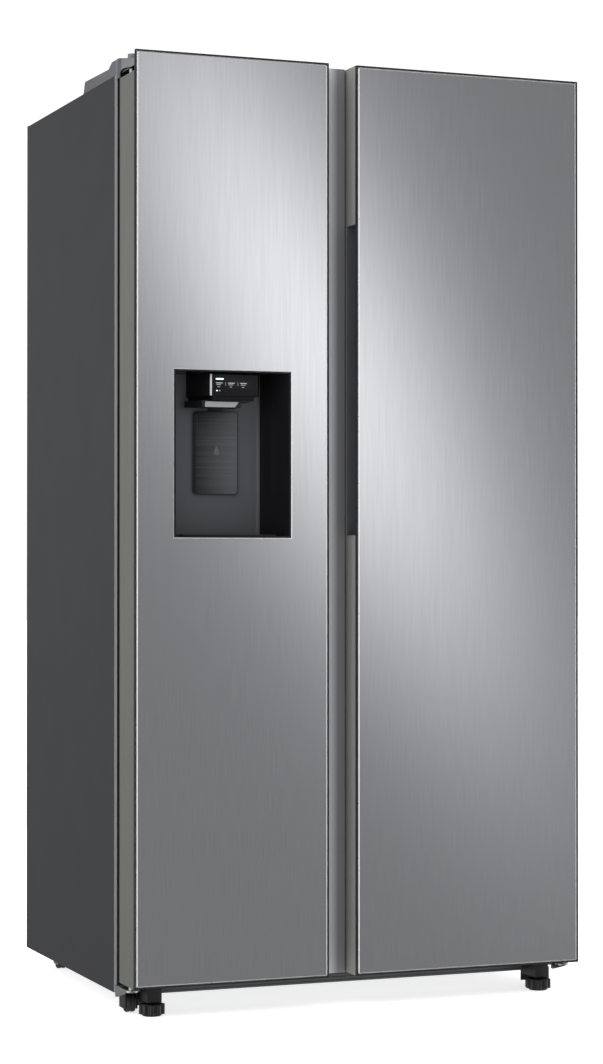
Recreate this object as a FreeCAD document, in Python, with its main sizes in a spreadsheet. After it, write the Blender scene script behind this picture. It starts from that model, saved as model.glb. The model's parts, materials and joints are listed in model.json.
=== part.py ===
import FreeCAD, Part
import math
import os
import re
import Sketcher

# Side by side refrigerator, in millimetres.
# The origin is on the floor under the middle of the case. The doors face -Y, +X is to the
# right of someone who stands in front of them, and +Z is up.

SIZES = {
    # Case
    "case_wide": 912.0,
    "front": -363.5,
    "rear": 363.5,
    "case_front": -248.5,
    "case_floor": 38.0,
    "case_top": 1748.0,
    "sheet": 1.5,
    # Rooms inside the case
    "liner": 1.5,
    "freezer_left": -406.0,
    "freezer_right": -54.0,
    "fridge_left": 20.0,
    "fridge_right": 406.0,
    "room_floor": 105.0,
    "room_top": 1695.0,
    "room_rear": 272.0,
    "step_front": 110.0,
    "step_rear": 170.0,
    "step_top": 325.0,
    # Machine space behind and under the rooms
    "machine_low": 150.0,
    "machine_high": 215.0,
    "machine_top": 285.0,
    # Rail under the doors
    "kick_wide": 760.0,
    "kick_floor": 33.0,
    "kick_top": 56.0,
    # Doors
    "door_outer": 453.0,
    "door_floor": 60.0,
    "door_top": 1777.0,
    "door_rear": -267.5,
    "panel_thick": 4.0,
    "panel_round": 3.4,
    "panel_inset": 2.8,
    "freezer_edge": -70.5,
    "freezer_reach": -19.0,
    "fridge_edge": -15.0,
    "strip_front": -315.5,
    "strip_thick": 6.0,
    "pocket_floor": 889.0,
    "pocket_top": 1477.0,
    "pocket_front": -357.5,
    "pocket_deep": 27.0,
    # Hinges
    "axis_x": 442.0,
    "axis_y": -313.5,
    "corner_floor": 1738.0,
    "corner_inner": 392.0,
    "pin_radius": 6.0,
    "pin_play": 0.05,
    "bracket_thick": 4.0,
    "cover_top": 1778.0,
    "boss_top": 1776.0,
    "boss_radius": 9.0,
    "hood_drop": 9.5,
    "nose_drop": 17.0,
    "cover_wall": 2.5,
    "cover_rear": -35.0,
    "cover_step": -198.0,
    "cover_reach": 44.5,
    "cover_inner": 399.0,
    # Gaskets, door liners and door bins
    "gasket_wide": 16.0,
    "gasket_floor": 70.0,
    "gasket_top": 1726.0,
    "gasket_outer": 437.0,
    "seal_play": 0.3,
    "dyke_wall": 10.0,
    "dyke_rear": -222.0,
    "dyke_outer": 398.0,
    "dyke_floor": 116.0,
    "dyke_top": 1684.0,
    "freezer_seal": -33.0,
    "fridge_seal": -13.0,
    "freezer_dyke": -70.0,
    "fridge_dyke": 36.0,
    "freezer_bin_tall": 88.0,
    "fridge_bin_tall": 105.0,
    "bin_rear": -175.0,
    "bin_wall": 3.0,
    "dairy_floor": 1430.0,
    "dairy_top": 1546.0,
    # Dispenser
    "niche_left": -377.0,
    "niche_right": -147.0,
    "niche_floor": 884.0,
    "niche_top": 1193.0,
    "niche_back": -277.5,
    "niche_wall": 3.0,
    "head_left": -301.5,
    "head_right": -211.7,
    "head_floor": 1146.5,
    "head_top": 1183.5,
    "chute_rear": -289.0,
    "paddle_left": -309.5,
    "paddle_right": -225.0,
    "paddle_floor": 966.0,
    "paddle_top": 1121.0,
    "paddle_thick": 3.0,
    "tray_thick": 3.0,
    "paddle_y": -285.0,
    # Rollers and levelling legs
    "roller_x": 427.0,
    "roller_y": -250.0,
    "roller_radius": 17.5,
    "roller_wide": 18.0,
    "roller_lift": 1.0,
    "rear_roller_x": 400.0,
    "rear_roller_y": 300.0,
    "axle_radius": 3.0,
    "leg_x": 398.0,
    "leg_y": -297.0,
    "leg_radius": 25.0,
    "stem_radius": 5.0,
    "leg_disc": 24.0,
    "leg_top": 54.0,
    "arm_half": 14.0,
    "arm_floor": 26.0,
    "arm_root": 12.0,
    "arm_top": 56.0,
    "fork_floor": 8.0,
    "low_hinge": 48.0,
    # Drawers and shelves
    "drawer_front": -130.0,
    "drawer_wall": 3.0,
    "shelf_front": -160.0,
    "drawer_tall": 205.0,
    "ice_bin_floor": 1300.0,
    "ice_bin_tall": 190.0,
    "maker_floor": 1540.0,
    "maker_front": 60.0,
    "lamp_front": -140.0,
    "duct_front": 225.0,
    # Cooling machinery
    "compressor_x": 230.0,
    "compressor_y": 274.0,
    "shroud_x": 20.0,
    "fan_y": 278.0,
    "fan_z": 130.0,
    "fan_radius": 62.0,
    "condenser_floor": 70.0,
    "evaporator_floor": 600.0,
    "evaporator_y": 250.0,
    "cold_fan_radius": 50.0,
    "cold_fan_x": -230.0,
    "cold_fan_y": 248.0,
    "cold_fan_z": 1225.0,
    "valve_x": -395.0,
    "valve_z": 220.0,
    "inlet_x": 390.0,
    "inlet_z": 210.0,
}

# Heights of the things that repeat, and how far behind the case's front each hinge screw is.
FREEZER_BINS = ("620", "745", "1570")
FRIDGE_BINS = ("640", "900", "1160")
WIRE_SHELVES = ("860", "1090")
GLASS_SHELVES = ("585", "845", "1105", "1365")
HINGE_SCREWS = (20, 50, 80)

document = FreeCAD.newDocument("Refrigerator")
sheet = document.addObject("Spreadsheet::Sheet", "Sizes")
for row, (alias, size) in enumerate(SIZES.items(), start=1):
    sheet.set(f"A{row}", str(size))
    sheet.setAlias(f"A{row}", alias)
document.recompute()

nodes = []


def bound(text):
    """Give every size name in an expression the sheet's name, so that it reads its cell."""
    def known(word):
        return "Sizes." + word.group() if word.group() in SIZES else word.group()

    return re.sub(r"[a-z_]+", known, str(text))


def number(text):
    """The value of an expression now."""
    return float(sheet.evalExpression(bound(text)))


def bind(thing, **properties):
    """Bind properties of an object, such as Length, to expressions of the sheet."""
    for name, text in properties.items():
        thing.setExpression(name, bound(text))


def put(thing, x=0, y=0, z=0):
    """Bind an object's place."""
    for letter, text in (("x", x), ("y", y), ("z", z)):
        thing.setExpression("Placement.Base." + letter, bound(text))


def node(thing):
    """List an object as one of the pieces that the model hands over."""
    nodes.append(thing)
    return thing


# ---------------------------------------------------------------- primitives and booleans

def block(label, x, y, z):
    """A box between two corners, each given as a pair of expressions along X, Y and Z."""
    box = document.addObject("Part::Box", "Block")
    box.Label = label
    bind(box, Length=f"{x[1]}-({x[0]})", Width=f"{y[1]}-({y[0]})", Height=f"{z[1]}-({z[0]})")
    put(box, x[0], y[0], z[0])
    return box


TURNS = {
    "x": FreeCAD.Rotation(FreeCAD.Vector(0, 1, 0), 90),
    "y": FreeCAD.Rotation(FreeCAD.Vector(1, 0, 0), -90),
    "z": FreeCAD.Rotation(),
}


def rod(label, along, start, radius, length):
    """A cylinder that starts at a point and runs along +X, +Y or +Z."""
    cylinder = document.addObject("Part::Cylinder", "Rod")
    cylinder.Label = label
    bind(cylinder, Radius=radius, Height=length)
    cylinder.Placement = FreeCAD.Placement(FreeCAD.Vector(), TURNS[along])
    put(cylinder, *start)
    return cylinder


def union(label, pieces):
    """One solid from pieces that meet."""
    fusion = document.addObject("Part::MultiFuse", "Union")
    fusion.Label = label
    fusion.Shapes = pieces
    return fusion


def difference(label, base, tools):
    """The base with every tool taken away."""
    tool = tools[0] if len(tools) == 1 else union(label + " tools", tools)
    cut = document.addObject("Part::Cut", "Difference")
    cut.Label = label
    cut.Base = base
    cut.Tool = tool
    return cut


def group(label, pieces):
    """Like pieces that stay separate solids under one name."""
    compound = document.addObject("Part::Compound", "Group")
    compound.Label = label
    compound.Links = pieces
    return compound


# ---------------------------------------------------------------- sketched bodies

def body(label):
    """An empty PartDesign body."""
    made = document.addObject("PartDesign::Body", "Body")
    made.Label = label
    return made


def rectangle(low_x, low_y, high_x, high_y):
    """The four corners of a rectangle in a sketch's own axes."""
    return [(low_x, low_y), (high_x, low_y), (high_x, high_y), (low_x, high_y)]


def circle(middle_x, middle_y, radius):
    """A round outline in a sketch's own axes."""
    return ("circle", middle_x, middle_y, radius)


def pin_point(sketch, geometry, position, x, y, x_now, y_now):
    """Hold one point of a sketch at a bound place."""
    for kind, text, now in (("DistanceX", x, x_now), ("DistanceY", y, y_now)):
        constraint = sketch.addConstraint(Sketcher.Constraint(kind, -1, 1, geometry, position, now))
        sketch.setExpression(f"Constraints[{constraint}]", bound(text))


def draw(sketch, outline):
    """Add one closed outline, round or straight-sided, to a sketch."""
    if outline[0] == "circle":
        middle = FreeCAD.Vector(number(outline[1]), number(outline[2]), 0)
        radius = number(outline[3])
        ring = sketch.addGeometry(Part.Circle(middle, FreeCAD.Vector(0, 0, 1), radius))
        pin_point(sketch, ring, 3, outline[1], outline[2], middle.x, middle.y)
        constraint = sketch.addConstraint(Sketcher.Constraint("Radius", ring, radius))
        sketch.setExpression(f"Constraints[{constraint}]", bound(outline[3]))
        return
    corners = [FreeCAD.Vector(number(x), number(y), 0) for x, y in outline]
    count = len(corners)
    lines = [
        sketch.addGeometry(Part.LineSegment(corners[i], corners[(i + 1) % count])) for i in range(count)
    ]
    for i in range(count):
        sketch.addConstraint(Sketcher.Constraint("Coincident", lines[i], 2, lines[(i + 1) % count], 1))
        pin_point(sketch, lines[i], 1, outline[i][0], outline[i][1], corners[i].x, corners[i].y)


def sketch_on(owner, plane, offset, outlines):
    """A sketch on one of the body's own origin planes, moved along that plane's normal."""
    sketch = owner.newObject("Sketcher::SketchObject", "Sketch")
    support = next(feature for feature in owner.Origin.OriginFeatures if feature.Role == plane + "_Plane")
    sketch.AttachmentSupport = [(support, "")]
    sketch.MapMode = "FlatFace"
    sketch.setExpression("AttachmentOffset.Base.z", bound(offset))
    for outline in outlines:
        draw(sketch, outline)
    return sketch


def pad(owner, plane, span, *outlines):
    """Add material between two stations along the plane's axis: Z, Y or X for XY, XZ or YZ."""
    low, high = span
    start = f"-({high})" if plane == "XZ" else low
    sketch = sketch_on(owner, plane, start, outlines)
    feature = owner.newObject("PartDesign::Pad", "Pad")
    feature.Profile = sketch
    bind(feature, Length=f"{high}-({low})")
    document.recompute()
    return feature


def pocket(owner, plane, span, *outlines):
    """Take material away between two stations along the plane's axis."""
    low, high = span
    start = f"-({low})" if plane == "XZ" else high
    before = owner.Shape.Volume
    sketch = sketch_on(owner, plane, start, outlines)
    feature = owner.newObject("PartDesign::Pocket", "Pocket")
    feature.Profile = sketch
    bind(feature, Length=f"{high}-({low})")
    document.recompute()
    if owner.Shape.Volume > before - 1e-3:
        raise RuntimeError(f"{owner.Label}: a pocket between {low} and {high} takes nothing away")
    return feature


def revolve(owner, plane, axis, *outlines):
    """A full turn of the outlines about the sketch's own horizontal or vertical axis."""
    sketch = sketch_on(owner, plane, "0", outlines)
    feature = owner.newObject("PartDesign::Revolution", "Revolution")
    feature.Profile = sketch
    feature.ReferenceAxis = (sketch, [axis])
    feature.Angle = 360
    document.recompute()
    return feature


def repeat(owner, feature, axis, count):
    """Repeat a feature evenly round one of the body's own origin axes."""
    before = owner.Shape.Volume
    pattern = owner.newObject("PartDesign::PolarPattern", "PolarPattern")
    pattern.Originals = [feature]
    pattern.Axis = (next(f for f in owner.Origin.OriginFeatures if f.Role == axis + "_Axis"), [""])
    pattern.Angle = 360
    pattern.Occurrences = count
    owner.Tip = pattern
    document.recompute()
    if abs(owner.Shape.Volume - before) < 1e-3:
        raise RuntimeError(f"{owner.Label}: the pattern adds nothing")
    return pattern


def soften(owner, kind, size, choose):
    """Fillet or chamfer the edges that choose(edge) picks."""
    base = owner.Tip
    names = [f"Edge{i}" for i, edge in enumerate(base.Shape.Edges, start=1) if choose(edge)]
    if not names:
        raise RuntimeError(f"{owner.Label}: no edge to {kind}")
    feature = owner.newObject("PartDesign::" + kind, kind)
    feature.Base = (base, names)
    bind(feature, **{"Radius" if kind == "Fillet" else "Size": size})
    document.recompute()
    return feature


def lies_on(axis, station):
    """Picks edges that lie wholly in the plane where X, Y or Z has one value."""
    place = number(station)

    def choose(edge):
        ends = (getattr(edge.BoundBox, axis + "Min"), getattr(edge.BoundBox, axis + "Max"))
        return all(abs(end - place) < 1e-4 for end in ends)

    return choose


def runs_along(axis, low=None, high=None):
    """Picks straight edges along X, Y or Z whose middles lie between two stations."""
    def choose(edge):
        if edge.Curve.TypeId != "Part::GeomLine":
            return False
        others = [letter for letter in "XYZ" if letter != axis]
        straight = all(getattr(edge.BoundBox, letter + "Length") < 1e-4 for letter in others)
        middle = getattr(edge.BoundBox.Center, axis.lower())
        return straight and (low is None or middle > number(low)) and (high is None or middle < number(high))

    return choose


# ---------------------------------------------------------------- case and rooms

def room_profile(grow):
    """The rooms' outline seen from the side, with a step over the machine space."""
    slant = math.tan(math.atan2(number("step_top-room_floor"), number("step_rear-step_front")) / 2)
    shift = f"{1 / slant:.3f}*({grow})"
    return [
        ("case_front", f"room_floor-({grow})"),
        (f"step_front+{shift}", f"room_floor-({grow})"),
        (f"step_rear+{shift}", f"step_top-({grow})"),
        (f"room_rear+({grow})", f"step_top-({grow})"),
        (f"room_rear+({grow})", f"room_top+({grow})"),
        ("case_front", f"room_top+({grow})"),
    ]


def make_wrapper():
    """The painted steel wrapper: two sides and a top, with a flange turned in round the front."""
    half = "case_wide/2"
    upright = ("case_floor", "case_top")
    outer = block("wrapper outer", (f"-{half}", half), ("case_front", "rear-sheet"), upright)
    inner = block(
        "wrapper inner",
        (f"-{half}+sheet", f"{half}-sheet"),
        ("case_front+sheet", "rear"),
        ("case_floor-1", "case_top-sheet"),
    )
    mouth = block(
        "wrapper mouth",
        ("freezer_left-liner", "fridge_right+liner"),
        ("case_front-1", "case_front+2*sheet"),
        ("case_floor-1", "room_top+liner"),
    )
    return difference("cabinet_wrapper", outer, [inner, mouth])


def make_foam():
    """The foamed insulation between the wrapper and the liners, stepped over the machine space."""
    foam = body("cabinet_foam")
    outline = [
        ("case_front+sheet", "case_floor+sheet"),
        ("machine_low", "case_floor+sheet"),
        ("machine_high", "machine_top"),
        ("rear-sheet", "machine_top"),
        ("rear-sheet", "case_top-sheet"),
        ("case_front+sheet", "case_top-sheet"),
    ]
    pad(foam, "YZ", ("-case_wide/2+sheet", "case_wide/2-sheet"), outline)
    for left, right in (("freezer_left", "freezer_right"), ("fridge_left", "fridge_right")):
        pocket(foam, "YZ", (f"{left}-liner", f"{right}+liner"), room_profile("liner"))
    return foam


def make_liner(label, left, right):
    """A thin moulded room, open at the front."""
    room = body(label)
    pad(room, "YZ", (f"{left}-liner", f"{right}+liner"), room_profile("liner"))
    pocket(room, "YZ", (left, right), room_profile("0"))
    return room


def make_case():
    """Wrapper, foam, liners and the sheets that close the case."""
    node(make_wrapper())
    node(make_foam())
    node(make_liner("freezer_liner", "freezer_left", "freezer_right"))
    node(make_liner("fridge_liner", "fridge_left", "fridge_right"))
    node(block(
        "mullion_bar",
        ("freezer_right+liner", "fridge_left-liner"),
        ("case_front", "case_front+sheet"),
        ("room_floor-liner", "room_top+liner"),
    ))
    wide = ("-case_wide/2", "case_wide/2")
    node(block("back_panel", wide, ("rear-sheet", "rear"), ("machine_top", "case_top")))
    node(make_base_pan())
    rail = block(
        "rail outer",
        ("-kick_wide/2", "kick_wide/2"),
        ("case_front-12", "case_front"),
        ("kick_floor", "kick_top"),
    )
    hollow = block(
        "rail hollow",
        ("-kick_wide/2+2", "kick_wide/2-2"),
        ("case_front-10", "case_front+1"),
        ("kick_floor-1", "kick_top-2"),
    )
    node(difference("kick_rail", rail, [hollow]))


def make_base_pan():
    """The steel floor pan with its front sill and the forks that hold the rear rollers."""
    pieces = [
        block(
            "pan floor",
            ("-case_wide/2+sheet", "case_wide/2-sheet"),
            ("case_front+sheet", "rear-sheet"),
            ("case_floor", "case_floor+sheet"),
        ),
        block(
            "pan sill",
            ("freezer_left-liner", "fridge_right+liner"),
            ("case_front", "case_front+sheet"),
            ("case_floor", "room_floor-liner"),
        ),
    ]
    for side in (-1, 1):
        middle = f"{side}*rear_roller_x"
        for face in (-1, 1):
            inner = f"{middle}+{face}*(roller_wide/2+1)"
            outer = f"{middle}+{face}*(roller_wide/2+3)"
            span = (inner, outer) if face > 0 else (outer, inner)
            reach = ("rear_roller_y-14", "rear_roller_y+14")
            pieces.append(block("pan fork", span, reach, ("fork_floor+1", "case_floor+0.5")))
        start = (f"{middle}-roller_wide/2-3", "rear_roller_y", "roller_radius")
        pieces.append(rod("pan axle", "x", start, "axle_radius", "roller_wide+6"))
    return union("base_pan", pieces)


# ---------------------------------------------------------------- rollers, legs and hinges

def make_roller(label, x, y, lift):
    """A grooved roller that turns about X on its axle."""
    roller = body(label)
    half = "roller_wide/2"
    outline = [
        (f"-{half}", "axle_radius+pin_play"),
        (half, "axle_radius+pin_play"),
        (half, "roller_radius-2"),
        (f"{half}-2", "roller_radius"),
        (f"-{half}+2", "roller_radius"),
        (f"-{half}", "roller_radius-2"),
    ]
    revolve(roller, "XZ", "H_Axis", outline)
    put(roller, x, y, f"roller_radius+{lift}")
    return roller


def make_roller_bracket(label, side):
    """The front foot: a fork for the roller and an arm that holds the levelling leg's boss."""
    wheel = f"{side}*roller_x"
    leg = f"{side}*leg_x"
    height = "roller_radius+roller_lift"
    plate = (f"{wheel}-12", f"{wheel}+12")
    arm = (f"{leg}-arm_half", f"{leg}+arm_half")
    reach = ("leg_y-16", "case_front")
    root = ("case_front-4", "case_front")
    sides = ("arm_floor", "arm_top-3")
    axle = (f"{wheel}-roller_wide/2-3", "roller_y", height)
    pieces = [
        block("foot plate", plate, ("roller_y+2", "roller_y+60"), ("case_floor-2", "case_floor")),
        block("foot arm top", arm, reach, ("arm_top-4", "arm_top")),
        block("foot arm front", arm, ("leg_y-16", "leg_y-14"), ("arm_floor", "arm_top")),
        block("foot arm left", (f"{leg}-arm_half", f"{leg}-arm_half+2"), reach, sides),
        block("foot arm right", (f"{leg}+arm_half-2", f"{leg}+arm_half"), reach, sides),
        block("foot arm root", arm, root, ("arm_root", "arm_top-3")),
        rod("foot boss", "z", (leg, "leg_y", "arm_floor+2"), "9", "arm_top-arm_floor-5"),
        rod("roller axle", "x", axle, "axle_radius", "roller_wide+6"),
    ]
    bridge = (f"{wheel}-11", f"{leg}+0") if side < 0 else (f"{leg}+0", f"{wheel}+11")
    level = ("fork_floor+2", "case_floor")
    pieces.append(block("foot bridge", bridge, ("roller_y+20", "roller_y+24"), level))
    for face in (-1, 1):
        inner = f"{wheel}+{face}*(roller_wide/2+1)"
        outer = f"{wheel}+{face}*(roller_wide/2+3)"
        span = (inner, outer) if face > 0 else (outer, inner)
        pieces.append(block("foot fork", span, ("roller_y-14", "roller_y+24"), ("fork_floor", "case_floor")))
    link = (f"{wheel}+roller_wide/2+1", leg) if side < 0 else (leg, f"{wheel}-roller_wide/2-1")
    pieces.append(block("foot link", link, root, ("arm_root", "case_floor")))
    bore = rod("leg thread", "z", (leg, "leg_y", "arm_floor+1"), "stem_radius+pin_play", "35")
    return difference(label, union(label + " plates", pieces), [bore])


def make_leg(label, side):
    """A levelling leg: a lobed disc to turn by hand on a threaded stem."""
    leg = body(label)
    outline = [
        ("0", "0"), ("17", "0"), ("leg_radius-4", "4"), ("leg_radius-4", "leg_disc-2"), ("12", "leg_disc"),
        ("stem_radius", "leg_disc"), ("stem_radius", "leg_top"), ("0", "leg_top"),
    ]
    revolve(leg, "XZ", "V_Axis", outline)
    lobe = pad(leg, "XY", ("4", "leg_disc-3"), circle("leg_radius-5", "0", "5"))
    repeat(leg, lobe, "Z", 10)
    put(leg, f"{side}*leg_x", "leg_y", "0")
    return leg


def make_top_hinge(label, side):
    """A steel strap on top of the case whose pin goes down into the door's corner."""
    hinge = body(label)
    axis = f"{side}*axis_x"
    near, far = (f"{axis}-8", f"{axis}+32") if side < 0 else (f"{axis}-32", f"{axis}+8")
    pad(hinge, "XY", ("case_top", "case_top+bracket_thick"), rectangle(near, "axis_y", far, "case_front+100"))
    pad(hinge, "XY", ("case_top", "case_top+bracket_thick"), circle(axis, "axis_y", "8"))
    pad(hinge, "XY", ("corner_floor-22", "case_top+1"), circle(axis, "axis_y", "pin_radius"))
    for step in HINGE_SCREWS:
        hole = circle(f"{axis}-{side}*12", f"case_front+{step}", "3")
        pocket(hinge, "XY", ("case_top-1", "case_top+bracket_thick+1"), hole)
    return hinge


def make_bottom_hinge(label, side):
    """A steel angle on the front of the case whose pin goes up into the door's bottom."""
    hinge = body(label)
    axis = f"{side}*axis_x"
    near, far = (f"{axis}-12", f"{axis}+14") if side < 0 else (f"{axis}-14", f"{axis}+12")
    pad(hinge, "XY", ("low_hinge", "low_hinge+bracket_thick"), rectangle(near, "axis_y", far, "case_front"))
    pad(hinge, "XY", ("low_hinge", "low_hinge+bracket_thick"), circle(axis, "axis_y", "12"))
    pad(hinge, "XY", ("low_hinge+2", "door_floor+22"), circle(axis, "axis_y", "pin_radius"))
    pad(hinge, "XZ", ("case_front-3", "case_front"), rectangle(near, "case_floor+0.5", far, "low_hinge+2"))
    gusset = [
        ("case_front", "case_floor-7"),
        ("case_front-8", "case_floor-7"),
        ("axis_y+7", "case_floor+6"),
        ("axis_y+7", "low_hinge+2"),
        ("case_front", "low_hinge+2"),
    ]
    outer = (near, f"{near}+3") if side < 0 else (f"{far}-3", far)
    pad(hinge, "YZ", outer, gusset)
    return hinge


def make_hinge_cover(label, side):
    """A moulded cover over the top hinge: low at the rear, higher where it reaches over the door."""
    cover = body(label)
    axis = f"{side}*axis_x"
    outer_x = f"{side}*door_outer"
    inner_x = f"{side}*cover_inner"

    def plan(inset):
        reach = f"(cover_reach-{inset})"
        outer = f"{outer_x}-({side})*{inset}"
        inner = f"{inner_x}+({side})*{inset}"
        shape = [(outer, f"cover_rear-{inset}")]
        for degrees in (14, 0, -14, -28, -42, -56, -70):
            turn = math.radians(degrees)
            across, forward = f"{side * math.sin(turn):.5f}", f"{math.cos(turn):.5f}"
            shape.append((f"{axis}+{across}*{reach}", f"axis_y-{forward}*{reach}"))
        shape.append((inner, f"axis_y-{inset}*0.3"))
        shape.append((inner, f"cover_rear-{inset}"))
        return shape

    pad(cover, "XY", ("case_top", "cover_top"), plan("0"))
    low, high = (f"{outer_x}-5", f"{inner_x}+5") if side < 0 else (f"{inner_x}-5", f"{outer_x}+5")
    roof = [
        ("cover_rear+5", "case_top"),
        ("cover_rear", "case_top"),
        ("cover_rear-10", "cover_top-7"),
        ("cover_step", "cover_top-10"),
        ("cover_step-20", "cover_top"),
        ("cover_step-20", "cover_top+5"),
        ("cover_rear+5", "cover_top+5"),
    ]
    pocket(cover, "YZ", (low, high), roof)
    soften(cover, "Fillet", "2", lambda edge: edge.BoundBox.ZMin > number("cover_top-10.5"))
    hood = [
        ("front-5", "cover_top-nose_drop"),
        ("axis_y-cover_reach", "cover_top-nose_drop"),
        ("axis_y", "cover_top-hood_drop"),
        ("case_front-11", "cover_top"),
        ("case_front-11", "cover_top+1"),
        ("front-5", "cover_top+1"),
    ]
    pocket(cover, "YZ", (low, high), hood)
    pocket(cover, "XY", ("case_top-1", "cover_top-20"), plan("cover_wall"))
    low, high = (outer_x, f"{outer_x}+cover_wall") if side < 0 else (f"{outer_x}-cover_wall", outer_x)
    arch = [
        ("case_front-20", "case_top-1"),
        ("case_front-21", "case_top"),
        ("case_front-25", "case_top+2.6"),
        ("case_front-31", "case_top+4.2"),
        ("case_front-40", "case_top+5"),
        ("case_front-54", "case_top+4.2"),
        ("case_front-90", "case_top"),
        ("case_front-90", "case_top-1"),
    ]
    pocket(cover, "YZ", (f"{low}-1", f"{high}+1"), arch)
    skirt = rectangle(low, "case_front-20", high, "case_front-1")
    pad(cover, "XY", ("case_top-8", "case_top+2"), skirt)
    pad(cover, "XY", ("cover_top-14", "boss_top"), circle(axis, "axis_y", "boss_radius"))
    return cover


def make_supports():
    """Rollers, feet and hinges, left and right."""
    for side, name in ((-1, "left"), (1, "right")):
        node(make_top_hinge(f"top_hinge_{name}", side))
        node(make_bottom_hinge(f"bottom_hinge_{name}", side))
        node(make_hinge_cover(f"hinge_cover_{name}", side))
        node(make_roller_bracket(f"roller_bracket_{name}", side))
        node(make_roller(f"front_roller_{name}", f"{side}*roller_x", "roller_y", "roller_lift"))
        node(make_roller(f"rear_roller_{name}", f"{side}*rear_roller_x", "rear_roller_y", "0"))
        node(make_leg(f"leveling_leg_{name}", side))
    bolts = []
    for side in (-1, 1):
        for step in HINGE_SCREWS:
            x, y = f"{side}*axis_x-{side}*12", f"case_front+{step}"
            head = rod("bolt head", "z", (x, y, "case_top+bracket_thick"), "5", "5")
            shank = rod("bolt shank", "z", (x, y, "case_top"), "2.9", "5")
            bolts.append(union(f"bolt {side} {step}", [head, shank]))
    node(group("hinge_bolts", bolts))


# ---------------------------------------------------------------- doors

def make_panel(label, left, right):
    """A door's steel front, rounded over at its four edges."""
    panel = body(label)
    face = rectangle(
        f"{left}+panel_inset", "door_floor+panel_inset", f"{right}-panel_inset", "door_top-panel_inset"
    )
    pad(panel, "XZ", ("front", "front+panel_thick"), face)
    if "freezer" in label:
        opening = rectangle("niche_left", "niche_floor", "niche_right", "niche_top")
        pocket(panel, "XZ", ("front-1", "front+panel_thick+1"), opening)
    soften(panel, "Fillet", "panel_round", lies_on("Y", "front"))
    return panel


def bore_door(door, side):
    """Cut the corner that clears the top hinge, and the bores for both pins."""
    axis = f"{side}*axis_x"
    outer, inner = f"{side}*(door_outer+2)", f"{side}*corner_inner"
    low, high = (outer, inner) if side < 0 else (inner, outer)
    corner = rectangle(low, "front", high, "door_rear+2")
    pocket(door, "XY", ("corner_floor", "door_top+1"), corner)
    hole = circle(axis, "axis_y", "pin_radius+pin_play")
    pocket(door, "XY", ("corner_floor-26", "corner_floor+1"), hole)
    pocket(door, "XY", ("door_floor-1", "door_floor+26"), hole)


def make_freezer_body():
    """The left door's foamed case, with its rear half reaching across the gap to the right door."""
    door = body("freezer_door_body")
    skin = "front+panel_thick"
    plan = [
        ("-door_outer", skin),
        ("freezer_edge", skin),
        ("freezer_edge", "strip_front+strip_thick"),
        ("freezer_reach", "strip_front+strip_thick"),
        ("freezer_reach", "door_rear"),
        ("-door_outer", "door_rear"),
    ]
    pad(door, "XY", ("door_floor", "door_top"), plan)
    niche = rectangle("niche_left", "niche_floor", "niche_right", "niche_top")
    pocket(door, "XZ", ("front", "niche_back+niche_wall"), niche)
    grip = rectangle("pocket_front", "pocket_floor", "strip_front-0.5", "pocket_top")
    pocket(door, "YZ", ("freezer_edge-pocket_deep+7", "freezer_edge+1"), grip)
    bore_door(door, -1)
    return door


def make_fridge_body():
    """The right door's foamed case, with the finger pocket in its left side."""
    door = body("fridge_door_body")
    skin = "front+panel_thick"
    pad(door, "XY", ("door_floor", "door_top"), rectangle("fridge_edge", skin, "door_outer", "door_rear"))
    grip = rectangle("pocket_front", "pocket_floor", "strip_front", "pocket_top")
    pocket(door, "YZ", ("fridge_edge-1", "fridge_edge+pocket_deep"), grip)
    soften(door, "Fillet", "8", lambda edge: (
        runs_along("Y")(edge)
        and abs(edge.BoundBox.Center.x - number("fridge_edge+pocket_deep")) < 1e-4
    ))
    bore_door(door, 1)
    return door


def make_door_liner(label, low, high, low_seal, high_seal):
    """A door's white inner face with the raised dyke that enters the room."""
    face = body(label)
    floor, top = "gasket_floor+gasket_wide+0.5", "gasket_top-gasket_wide-0.5"
    plate = rectangle(f"{low_seal}+0.5", floor, f"{high_seal}-0.5", top)
    pad(face, "XZ", ("door_rear", "door_rear+2"), plate)
    outer = rectangle(low, "dyke_floor", high, "dyke_top")
    inner = rectangle(f"{low}+dyke_wall", "dyke_floor+dyke_wall", f"{high}-dyke_wall", "dyke_top-dyke_wall")
    pad(face, "XZ", ("door_rear+1", "dyke_rear"), outer, inner)
    if "freezer" in label:
        bulge = rectangle("niche_left-15", "niche_floor-16", "niche_right+15", "niche_top+16")
        pad(face, "XZ", ("door_rear+1", "dyke_rear-14"), bulge)
    else:
        for floor in ("dairy_floor-6", "dairy_top+2"):
            ledge = rectangle(f"{low}+dyke_wall-1", floor, f"{high}-dyke_wall+1", f"{floor}+5")
            pad(face, "XZ", ("door_rear+1", "dyke_rear-10"), ledge)
    return face


def make_gasket(label, left, right):
    """A soft magnetic seal round a door's inner face."""
    seal = body(label)
    outer = rectangle(left, "gasket_floor", right, "gasket_top")
    inner = rectangle(
        f"{left}+gasket_wide", "gasket_floor+gasket_wide", f"{right}-gasket_wide", "gasket_top-gasket_wide"
    )
    pad(seal, "XZ", ("door_rear", "case_front-seal_play"), outer, inner)
    return seal


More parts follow.
